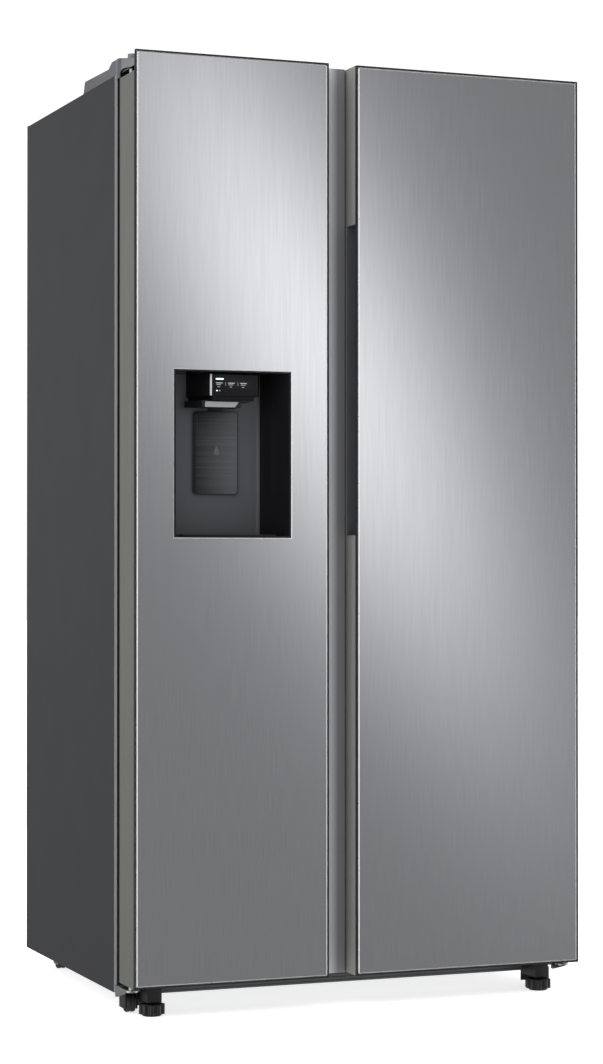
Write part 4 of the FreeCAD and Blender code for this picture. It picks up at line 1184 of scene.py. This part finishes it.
class REFRIGERATOR_OT_hinges(bpy.types.Operator):
    """Make the hinges, their bolts and the moulded covers over the top ones"""

    bl_idname = "refrigerator.hinges"
    bl_label = "Hinges and covers"

    def execute(self, context):
        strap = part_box("cabinet_wrapper")[1].z

        def on_strap(face):
            return int(face.calc_center_median().z > strap - 0.5 * MM)

        materials = [zinc_steel(), black_steel()]
        for side in ("left", "right"):
            self.make_hood(f"hinge_cover_{side}", f"hinge_hood_{side}")
            refit(f"top_hinge_{side}", f"top_hinge_strap_{side}", materials, 0.4 * MM, 2, paint=on_strap)
            refit(f"bottom_hinge_{side}", f"bottom_hinge_angle_{side}", [zinc_steel()], 0.4 * MM, 2)
        refit("hinge_bolts", "hinge_bolt_heads", [zinc_steel()], 0.5 * MM, 2)
        return {"FINISHED"}

    def make_hood(self, node, name):
        """A hinge's cover with light and shade painted in zones: a painted highlight along the crease where
        it leaves the case, painted shade on the neck's sides and a lighter painted nose.
        """
        mesh = cleaned(node)
        soften(mesh, sharp_edges(mesh), 0.5 * MM, 2)
        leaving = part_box("cabinet_wrapper")[0].y
        crease, neck = leaving - 6 * MM, leaving - 32 * MM
        for place in (leaving, crease, neck):
            slice_at(mesh, Y, place)
        for face in mesh.faces:
            middle = face.calc_center_median()
            sideways = abs(face.normal.x) > 0.7
            # Painted light on the nose and the crease, painted shade on the neck's sides.
            if middle.y < neck:
                face.material_index = 1
            elif sideways and crease < middle.y < leaving:
                face.material_index = 1
            elif sideways and middle.y < crease:
                face.material_index = 2
        materials = [hinge_cover_plastic(), hinge_nose_plastic(), pocket_plastic()]
        piece(mesh, name, BODY_OF[node], materials, [node], turn_out=False)


# ---------------------------------------------------------------- feet

class REFRIGERATOR_OT_feet(bpy.types.Operator):
    """Make the rollers, their brackets and the levelling legs"""

    bl_idname = "refrigerator.feet"
    bl_label = "Rollers and legs"

    def execute(self, context):
        for side in ("left", "right"):
            refit(f"roller_bracket_{side}", f"foot_bracket_{side}", [black_plastic()], 0.6 * MM, 2)
            refit(f"leveling_leg_{side}", f"leg_disc_{side}", [black_plastic()], 0.6 * MM, 2)
            for place in ("front", "rear"):
                self.make_roller(f"{place}_roller_{side}")
        return {"FINISHED"}

    def make_roller(self, node):
        """A roller with a grooved tread and a dished face."""
        low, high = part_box(node)
        centre = (low + high) / 2
        radius = (high.z - low.z) / 2
        half = (high.x - low.x) / 2
        bore = 3.1 * MM
        dish = -half + 3 * MM
        profile = [
            (-half, bore), (-half, radius * 0.34), (dish, radius * 0.42), (dish, radius * 0.74),
            (-half, radius * 0.84), (-half + 0.5 * MM, radius - 1 * MM), (-half + 2 * MM, radius),
            (-2.4 * MM, radius), (-1.6 * MM, radius - 1 * MM),
        ]
        mirrored = [(-along, wide) for along, wide in reversed(profile)]
        mesh = bmesh.new()
        add_turned(mesh, centre, X, [*profile, *mirrored, profile[0]], 40)
        piece(mesh, f"{node}_wheel", BODY_OF[node], [wheel_rubber()], [node])


# ---------------------------------------------------------------- rear

class REFRIGERATOR_OT_rear(bpy.types.Operator):
    """Make the rear panel with its pressed channels, the slotted cover, inlets and screws"""

    bl_idname = "refrigerator.rear"
    bl_label = "Rear"

    def execute(self, context):
        self.make_back_panel()
        refit("rear_cover", "machine_cover", [black_steel()], 0.3 * MM, 1)
        refit("power_inlet", "mains_inlet_case", [black_plastic()], 0.6 * MM, 2)
        refit("water_valve", "water_valve_body", [white_plastic()], 0.5 * MM, 2)
        self.make_screws()
        return {"FINISHED"}

    def make_back_panel(self):
        """A steel sheet with shallow upright channels pressed inwards."""
        node = "back_panel"
        low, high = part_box(node)
        mesh = bmesh.new()
        add_box(mesh, low, high)
        channels = 5
        wide = (high.x - low.x) / channels
        middles = [low.x + wide * (i + 0.5) for i in range(channels)]
        half = wide * 0.3
        floor, top = low.z + 90 * MM, high.z - 90 * MM
        for middle in middles:
            slice_at(mesh, X, middle - half)
            slice_at(mesh, X, middle + half)
        slice_at(mesh, Z, floor)
        slice_at(mesh, Z, top)

        def pressed(face):
            place = face.calc_center_median()
            inside = any(abs(place.x - middle) < half for middle in middles)
            return face.normal.y > 0.9 and inside and floor < place.z < top

        chosen_faces = [face for face in mesh.faces if pressed(face)]
        bmesh.ops.inset_individual(mesh, faces=chosen_faces, thickness=7 * MM, depth=-1.1 * MM)
        piece(mesh, "back_sheet", "case", [zinc_steel()], [node], smooth=50)

    def make_screws(self):
        """Screws round the back panel and the machine cover."""
        mesh = bmesh.new()
        low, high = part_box("back_panel")
        inset = 12 * MM
        level = high.y - 1.6 * MM
        rows, columns = 6, 5
        for x in (low.x + inset, high.x - inset):
            for i in range(rows):
                z = low.z + inset + (high.z - low.z - 2 * inset) * i / (rows - 1)
                add_screw(mesh, (x, level, z), Y, 1)
        low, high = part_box("rear_cover")
        for i in range(columns):
            x = low.x + inset + (high.x - low.x - 2 * inset) * i / (columns - 1)
            for z in (low.z + inset, high.z - inset):
                add_screw(mesh, (x, level, z), Y, 1)
        piece(mesh, "rear_screws", "case", [zinc_steel()])


class REFRIGERATOR_OT_machinery(bpy.types.Operator):
    """Make the compressor, coils, fans and shroud"""

    bl_idname = "refrigerator.machinery"
    bl_label = "Machinery"

    def execute(self, context):
        refit("compressor", "compressor_shell", [black_steel()], 1.5 * MM, 3)
        refit("condenser_coil", "condenser_tube", [coil_copper()])
        refit("evaporator_coil", "evaporator_tube", [coil_aluminium()])
        refit("fan_shroud", "condenser_fan_shroud", [black_plastic()], 0.6 * MM, 2)
        refit("condenser_fan", "condenser_fan_wheel", [black_plastic()], 0.5 * MM, 2)
        refit("evaporator_fan", "evaporator_fan_wheel", [white_plastic()], 0.5 * MM, 2)
        return {"FINISHED"}


# ---------------------------------------------------------------- rooms

def make_room(node, name):
    """A room's white liner with rounded inner corners."""
    low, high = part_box(node)
    wall = 2 * MM

    def inner(edge):
        ends = [vert.co for vert in edge.verts]
        inside = all(low.x + 1 * MM < co.x < high.x - 1 * MM for co in ends)
        covered = all(low.z + 1 * MM < co.z < high.z - 1 * MM and co.y < high.y - 1 * MM for co in ends)
        return inside and covered and any(co.y > low.y + wall for co in ends)

    mesh = cleaned(node)
    soften(mesh, [edge for edge in sharp_edges(mesh) if inner(edge)], chosen_size("room_round"), 4)
    piece(mesh, name, BODY_OF[node], [white_plastic()], [node], turn_out=False)


class REFRIGERATOR_OT_rooms(bpy.types.Operator):
    """Make both rooms with their lamps, covers and fittings"""

    bl_idname = "refrigerator.rooms"
    bl_label = "Rooms"

    def execute(self, context):
        make_room("freezer_liner", "freezer_room")
        make_room("fridge_liner", "fridge_room")
        refit("room_lamps", "room_lamp_lenses", [lamp_lens()], 2 * MM, 3)
        refit("evaporator_cover", "freezer_rear_cover", [white_plastic()], 0.5 * MM, 2)
        refit("ice_maker", "ice_maker_body", [white_plastic()], 1.0 * MM, 2)
        refit("freezer_shelves", "freezer_wire_shelves", [wire_coating()])
        refit("fridge_shelf_glass", "fridge_glass_shelves", [shelf_glass()], 0.8 * MM, 2)
        refit("fridge_shelf_trims", "fridge_shelf_edges", [frosted_plastic()], 1.2 * MM, 3)
        return {"FINISHED"}


class REFRIGERATOR_OT_drawers(bpy.types.Operator):
    """Make the drawers, baskets and the ice bin with their grips"""

    bl_idname = "refrigerator.drawers"
    bl_label = "Drawers and ice bin"

    def execute(self, context):
        for node in ("crisper_upper", "crisper_lower", "freezer_basket_upper", "freezer_basket_lower"):
            refit(node, f"{node}_tub", [clear_plastic()], 1.0 * MM, 2)
            self.add_grip(node, f"{node}_grip")
        refit("ice_bin", "ice_bin_tub", [white_plastic()], 1.0 * MM, 2)
        self.add_bin_front()
        return {"FINISHED"}

    def add_bin_front(self):
        """A raised grip and two ribs across the ice bin's front."""
        low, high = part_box("ice_bin")
        middle = (low.x + high.x) / 2
        half = 55 * MM
        mesh = bmesh.new()
        add_box(
            mesh, (middle - half, low.y - 2.2 * MM, high.z - 34 * MM),
            (middle + half, low.y + 0.4 * MM, high.z - 14 * MM), 2.0 * MM, 3,
        )
        for rise in (24, 34):
            level = low.z + rise * MM
            add_box(
                mesh, (low.x + 14 * MM, low.y - 1.2 * MM, level),
                (high.x - 14 * MM, low.y + 0.4 * MM, level + 4 * MM), 0.8 * MM, 2,
            )
        piece(mesh, "ice_bin_front", "ice_bin", [frosted_plastic()])

    def add_grip(self, node, name):
        """A frosted band along the drawer's lip."""
        low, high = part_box(node)
        mesh = bmesh.new()
        add_box(
            mesh, (low.x + 6 * MM, low.y - 1.6 * MM, high.z - 20 * MM),
            (high.x - 6 * MM, low.y + 0.4 * MM, high.z - 3 * MM), 0.8 * MM, 2,
        )
        piece(mesh, name, BODY_OF[node], [frosted_plastic()])


# ---------------------------------------------------------------- stage

# What shines sees a dim room with bright sides, and a ring of strip lights placed in radians.
ROOM = 0.275
SIDES = 1.25
STRIPS = 16
STRIP_TURN = 0.376
STRIP_RISE = 0.0872
STRIP_LEAN = 0.455
STRIP_WIDTH = 0.0245
STRIP_LENGTH = 0.098
STRIP_POWER = 1.62


class REFRIGERATOR_OT_stage(bpy.types.Operator):
    """Lay the floor and set the studio light and the camera"""

    bl_idname = "refrigerator.stage"
    bl_label = "Floor, light and camera"

    def execute(self, context):
        scene = context.scene
        scene.view_settings.view_transform = "Standard"
        self.lay_floor(scene)
        self.light_world(scene)
        self.hang_lights(scene)
        self.place_camera(scene)
        return {"FINISHED"}

    def lay_floor(self, scene):
        """A plain pale floor. The polished parts don't mirror it."""
        half = chosen_size("floor_size") / 2
        mesh = bmesh.new()
        bmesh.ops.create_grid(mesh, x_segments=1, y_segments=1, size=half)
        data = bpy.data.meshes.new("studio_floor")
        mesh.to_mesh(data)
        mesh.free()
        made = Finish(
            "studio_floor", (0.9, 0.9, 0.9), 0.9, Specular_IOR_Level=0.0,
            Emission_Color=(1.0, 1.0, 1.0, 1.0), Emission_Strength=0.72,
        )
        made.tint(made.noise((2, 2, 2)), 0.995, 1.0)
        data.materials.append(made.material)
        floor = bpy.data.objects.new("studio_floor", data)
        floor.visible_glossy = False
        scene.collection.objects.link(floor)

    def light_world(self, scene):
        """An even white surround. What shines sees a dim room with a ring of soft, leaning strip lights."""
        world = bpy.data.worlds.new("studio")
        world.use_nodes = True
        tree = world.node_tree
        tree.nodes.clear()

        def worked(operation, *terms):
            node = tree.nodes.new("ShaderNodeMath")
            node.operation = operation
            for socket, term in zip(node.inputs, terms):
                if isinstance(term, float):
                    socket.default_value = term
                else:
                    tree.links.new(term, socket)
            return node.outputs[0]

        def ramp(source, low, high):
            node = tree.nodes.new("ShaderNodeMapRange")
            node.interpolation_type = "SMOOTHSTEP"
            limits = {"From Min": low, "From Max": high, "To Min": ROOM, "To Max": SIDES}
            for socket, level in limits.items():
                node.inputs[socket].default_value = level
            tree.links.new(source, node.inputs["Value"])
            return node.outputs["Result"]

        parts = tree.nodes.new("ShaderNodeSeparateXYZ")
        tree.links.new(tree.nodes.new("ShaderNodeTexCoord").outputs["Generated"], parts.inputs[0])
        turn = worked("ARCTAN2", parts.outputs["X"], worked("MULTIPLY", parts.outputs["Y"], -1.0))
        rise = worked("SUBTRACT", worked("ARCSINE", parts.outputs["Z"]), STRIP_RISE)
        half_step = math.pi / STRIPS
        aside = worked("WRAP", worked("SUBTRACT", turn, STRIP_TURN), half_step, -half_step)
        lean_cos, lean_sin = math.cos(STRIP_LEAN), math.sin(STRIP_LEAN)
        across = worked("ADD", worked("MULTIPLY", aside, lean_cos), worked("MULTIPLY", rise, lean_sin))
        along = worked("SUBTRACT", worked("MULTIPLY", aside, lean_sin), worked("MULTIPLY", rise, lean_cos))
        across_share = worked("POWER", worked("DIVIDE", across, STRIP_WIDTH), 2.0)
        along_share = worked("POWER", worked("DIVIDE", along, STRIP_LENGTH), 2.0)
        fall = worked("ADD", across_share, along_share)
        glow = worked("MULTIPLY", worked("EXPONENT", worked("MULTIPLY", fall, -0.5)), STRIP_POWER)
        sides = ramp(worked("ABSOLUTE", parts.outputs["X"]), 0.62, 0.86)
        shine = tree.nodes.new("ShaderNodeBackground")
        shine.inputs["Color"].default_value = (1, 1, 1, 1)
        bright = worked("ADD", worked("MAXIMUM", sides, ramp(parts.outputs["Z"], 0.5, 0.85)), glow)
        tree.links.new(bright, shine.inputs["Strength"])
        even = tree.nodes.new("ShaderNodeBackground")
        even.inputs["Color"].default_value = (1, 1, 1, 1)
        even.inputs["Strength"].default_value = 1.1
        kind = tree.nodes.new("ShaderNodeLightPath")
        mix = tree.nodes.new("ShaderNodeMixShader")
        tree.links.new(kind.outputs["Is Glossy Ray"], mix.inputs["Fac"])
        tree.links.new(even.outputs[0], mix.inputs[1])
        tree.links.new(shine.outputs[0], mix.inputs[2])
        output = tree.nodes.new("ShaderNodeOutputWorld")
        tree.links.new(mix.outputs[0], output.inputs["Surface"])
        scene.world = world

    def hang_lights(self, scene):
        """A wide soft panel above and to the left, which nothing mirrors."""
        light = bpy.data.lights.new("overhead_panel", "AREA")
        light.shape = "DISK"
        light.size = 2.4
        light.energy = 26.0
        place = Vector((-2.2, -2.2, 3.1))
        holder = bpy.data.objects.new("overhead_panel", light)
        holder.location = place
        holder.rotation_euler = (Vector((0, 0, 0.9)) - place).to_track_quat("-Z", "Y").to_euler()
        holder.visible_camera = False
        holder.visible_glossy = False
        scene.collection.objects.link(holder)

    def place_camera(self, scene):
        """A long lens, standing to the left of the doors at chest height."""
        lens = bpy.data.cameras.new("camera")
        lens.lens = 87.57
        lens.sensor_width = 36.0
        lens.clip_end = 200.0
        yaw = math.radians(21.43)
        rise = math.radians(0.61)
        forward = Vector((math.sin(yaw) * math.cos(rise), math.cos(yaw) * math.cos(rise), math.sin(rise)))
        camera = bpy.data.objects.new("camera", lens)
        camera.location = (-1.8935, -4.8653, 0.8434)
        camera.rotation_euler = forward.to_track_quat("-Z", "Y").to_euler()
        scene.collection.objects.link(camera)
        scene.camera = camera


# ---------------------------------------------------------------- panel and registration

STEPS = (
    REFRIGERATOR_OT_stage,
    REFRIGERATOR_OT_steel_fronts,
    REFRIGERATOR_OT_door_bodies,
    REFRIGERATOR_OT_grip_strip,
    REFRIGERATOR_OT_seals,
    REFRIGERATOR_OT_door_liners,
    REFRIGERATOR_OT_dispenser,
    REFRIGERATOR_OT_case,
    REFRIGERATOR_OT_hinges,
    REFRIGERATOR_OT_feet,
    REFRIGERATOR_OT_rear,
    REFRIGERATOR_OT_machinery,
    REFRIGERATOR_OT_rooms,
    REFRIGERATOR_OT_drawers,
)


class REFRIGERATOR_PT_panel(bpy.types.Panel):
    """Settings and steps of the refrigerator"""

    bl_idname = "REFRIGERATOR_PT_panel"
    bl_label = "Refrigerator"
    bl_space_type = "VIEW_3D"
    bl_region_type = "UI"
    bl_category = "Refrigerator"

    def draw(self, context):
        layout = self.layout
        for group in (context.scene.refrigerator_colours, context.scene.refrigerator_sizes):
            box = layout.box()
            for name in group.__annotations__:
                box.prop(group, name)
        for step in STEPS:
            layout.operator(step.bl_idname)


CLASSES = (REFRIGERATOR_PG_colours, REFRIGERATOR_PG_sizes, *STEPS, REFRIGERATOR_PT_panel)


def register():
    """Register the classes and hang the settings on the scene."""
    for item in CLASSES:
        bpy.utils.register_class(item)
    bpy.types.Scene.refrigerator_colours = bpy.props.PointerProperty(type=REFRIGERATOR_PG_colours)
    bpy.types.Scene.refrigerator_sizes = bpy.props.PointerProperty(type=REFRIGERATOR_PG_sizes)


def unregister():
    """Take the settings off the scene and unregister the classes."""
    del bpy.types.Scene.refrigerator_sizes
    del bpy.types.Scene.refrigerator_colours
    for item in reversed(CLASSES):
        bpy.utils.unregister_class(item)


def main():
    """Make every piece in order."""
    register()
    for step in STEPS:
        group, name = step.bl_idname.split(".")
        getattr(getattr(bpy.ops, group), name)()


if __name__ == "__main__":
    main()
